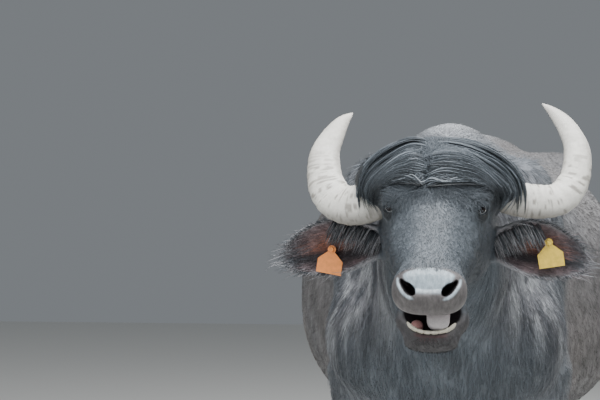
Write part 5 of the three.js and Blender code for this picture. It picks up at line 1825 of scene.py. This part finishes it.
CLAW_RINGS = (
    (0.0, 0.975, 16),
    (2.5, 1.0, 15.6),
    (10, 0.998, 14),
    (18, 0.99, 12),
    (26, 0.98, 10),
    (36, 0.95, 7.7),
    (48, 0.915, 5),
    (60, 0.88, 2.3),
    (69.6, 0.86, 0.2),
)
CLAW_SIDES = 56
CLAW_WIDTH = 57
CLEFT = 2.5  # from the foot's middle to each claw
HOOF_STREAKS = (40, 40, 420)
HOOF_LOOK = streaked_look(
    "hoof", (0.055, 0.048, 0.043), 1.0, (0.6, 1.7), 0.5, 0.0015, stretch=HOOF_STREAKS, Roughness=0.5
)


def claw(leg, lateral, where):
    foot_x, foot_y = (float(v) for v in leg_middle(leg, 70.0))
    length = 68 if leg[1] is FORELEG else 63
    c, s = np.cos(turns(CLAW_SIDES)), np.sin(turns(CLAW_SIDES))
    across = np.maximum(s, 0) ** 0.8 * CLAW_WIDTH
    toe = -c * length * np.where(c > 0, 1.05, 0.9) * np.where(s > 0, 1, 0.94)
    rings = []
    for z, grow, ahead in CLAW_RINGS:
        grow = grow * (1 + 0.008 * math.sin(z * 0.9))
        x = foot_x + lateral * (CLEFT + across * grow)
        rings.append(np.stack((x, foot_y + toe * grow - ahead, np.full(CLAW_SIDES, z)), axis=1))
    verts = np.concatenate((*rings, [rings[0].mean(axis=0), rings[-1].mean(axis=0)]))
    faces = ring_faces(len(CLAW_RINGS), CLAW_SIDES)[:, :: -1 if lateral > 0 else 1]
    made = make_mesh(f"{leg[0]}_{where}_hoof", verts, faces)
    made.data.materials.append(HOOF_LOOK)
    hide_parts(f"{leg[0]}_{where}_claw")


for leg in LEGS:
    claw(leg, leg[2], "outer")
    claw(leg, -leg[2], "inner")

# Distance along a dewclaw and its radius there
DEWCLAW_RINGS = ((-20, 15), (-6, 14), (6, 11.5), (16, 8), (22, 4.5))
DEWCLAW_SIDES = 20
DEWCLAW_TILT = 0.6 * math.pi  # from upright, backwards


def dewclaw(spot):
    tip = unit(np.array((0, math.sin(DEWCLAW_TILT), math.cos(DEWCLAW_TILT))))
    one = np.array((1.0, 0, 0))
    angle = turns(DEWCLAW_SIDES)[:, None]
    around = one * np.cos(angle) + np.cross(tip, one) * 0.85 * np.sin(angle)
    rings = [spot + tip * at + around * girth for at, girth in DEWCLAW_RINGS]
    return np.concatenate((*rings, [spot - tip * 20, spot + tip * 24]))


def dewclaws():
    solids = []
    for leg in LEGS:
        x, y = (float(v) for v in leg_middle(leg, 150.0))
        solids += [dewclaw(np.array((x + lateral * 21, y + 44, 138))) for lateral in (1, -1)]
    made = joined("dewclaws", solids, len(DEWCLAW_RINGS), DEWCLAW_SIDES)
    made.data.materials.append(HOOF_LOOK)


dewclaws()

# Ear tags keep their solids' shape

TAG_COLORS = {"left": (0.87, 0.62, 0.1), "right": (0.9, 0.32, 0.09)}
for word, color in TAG_COLORS.items():
    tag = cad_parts[f"ear_tag_{word}"]
    tag.data.materials.clear()
    look = streaked_look(f"tag_{word}", color, 90.0, (0.82, 1.06), 0.2, 0.001, Roughness=0.38)
    tag.data.materials.append(look)

# Stage and light

FLOOR_REACH = 9000
FLOOR_Z = -0.5
# Name, place and aim in metres, size in metres and power in watts
LIGHTS = (
    ("sky", (0.3, -1.4, 4.6), (0, -0.4, 0.8), 3.6, 470),
    ("front", (-1.5, -5.5, 3.2), (0, -0.9, 1.1), 3, 75),
    ("back", (2.5, 4, 3), (0, 0.5, 1), 3, 130),
)
SKY_COLOR = (0.8, 0.86, 0.92, 1)
SKY_STRENGTH = 0.24


def make_stage():
    ends = ((-1, -1), (1, -1), (1, 1), (-1, 1))
    floor = make_mesh("floor", [(x * FLOOR_REACH, y * FLOOR_REACH, FLOOR_Z) for x, y in ends], [(0, 1, 2, 3)])
    floor.data.materials.append(material("floor", Roughness=0.9, Base_Color=(0.62, 0.62, 0.6, 1))[0])


def make_light(name, place, aim, size, power):
    data = bpy.data.lights.new(name, "AREA")
    data.size = size
    data.energy = power
    made = bpy.data.objects.new(name, data)
    bpy.context.scene.collection.objects.link(made)
    made.location = place
    made.rotation_euler = (Vector(aim) - Vector(place)).to_track_quat("-Z", "Y").to_euler()


make_stage()
for light in LIGHTS:
    make_light(*light)
world = bpy.data.worlds.new("studio")
world.use_nodes = True
world.node_tree.nodes["Background"].inputs["Color"].default_value = SKY_COLOR
world.node_tree.nodes["Background"].inputs["Strength"].default_value = SKY_STRENGTH
bpy.context.scene.world = world
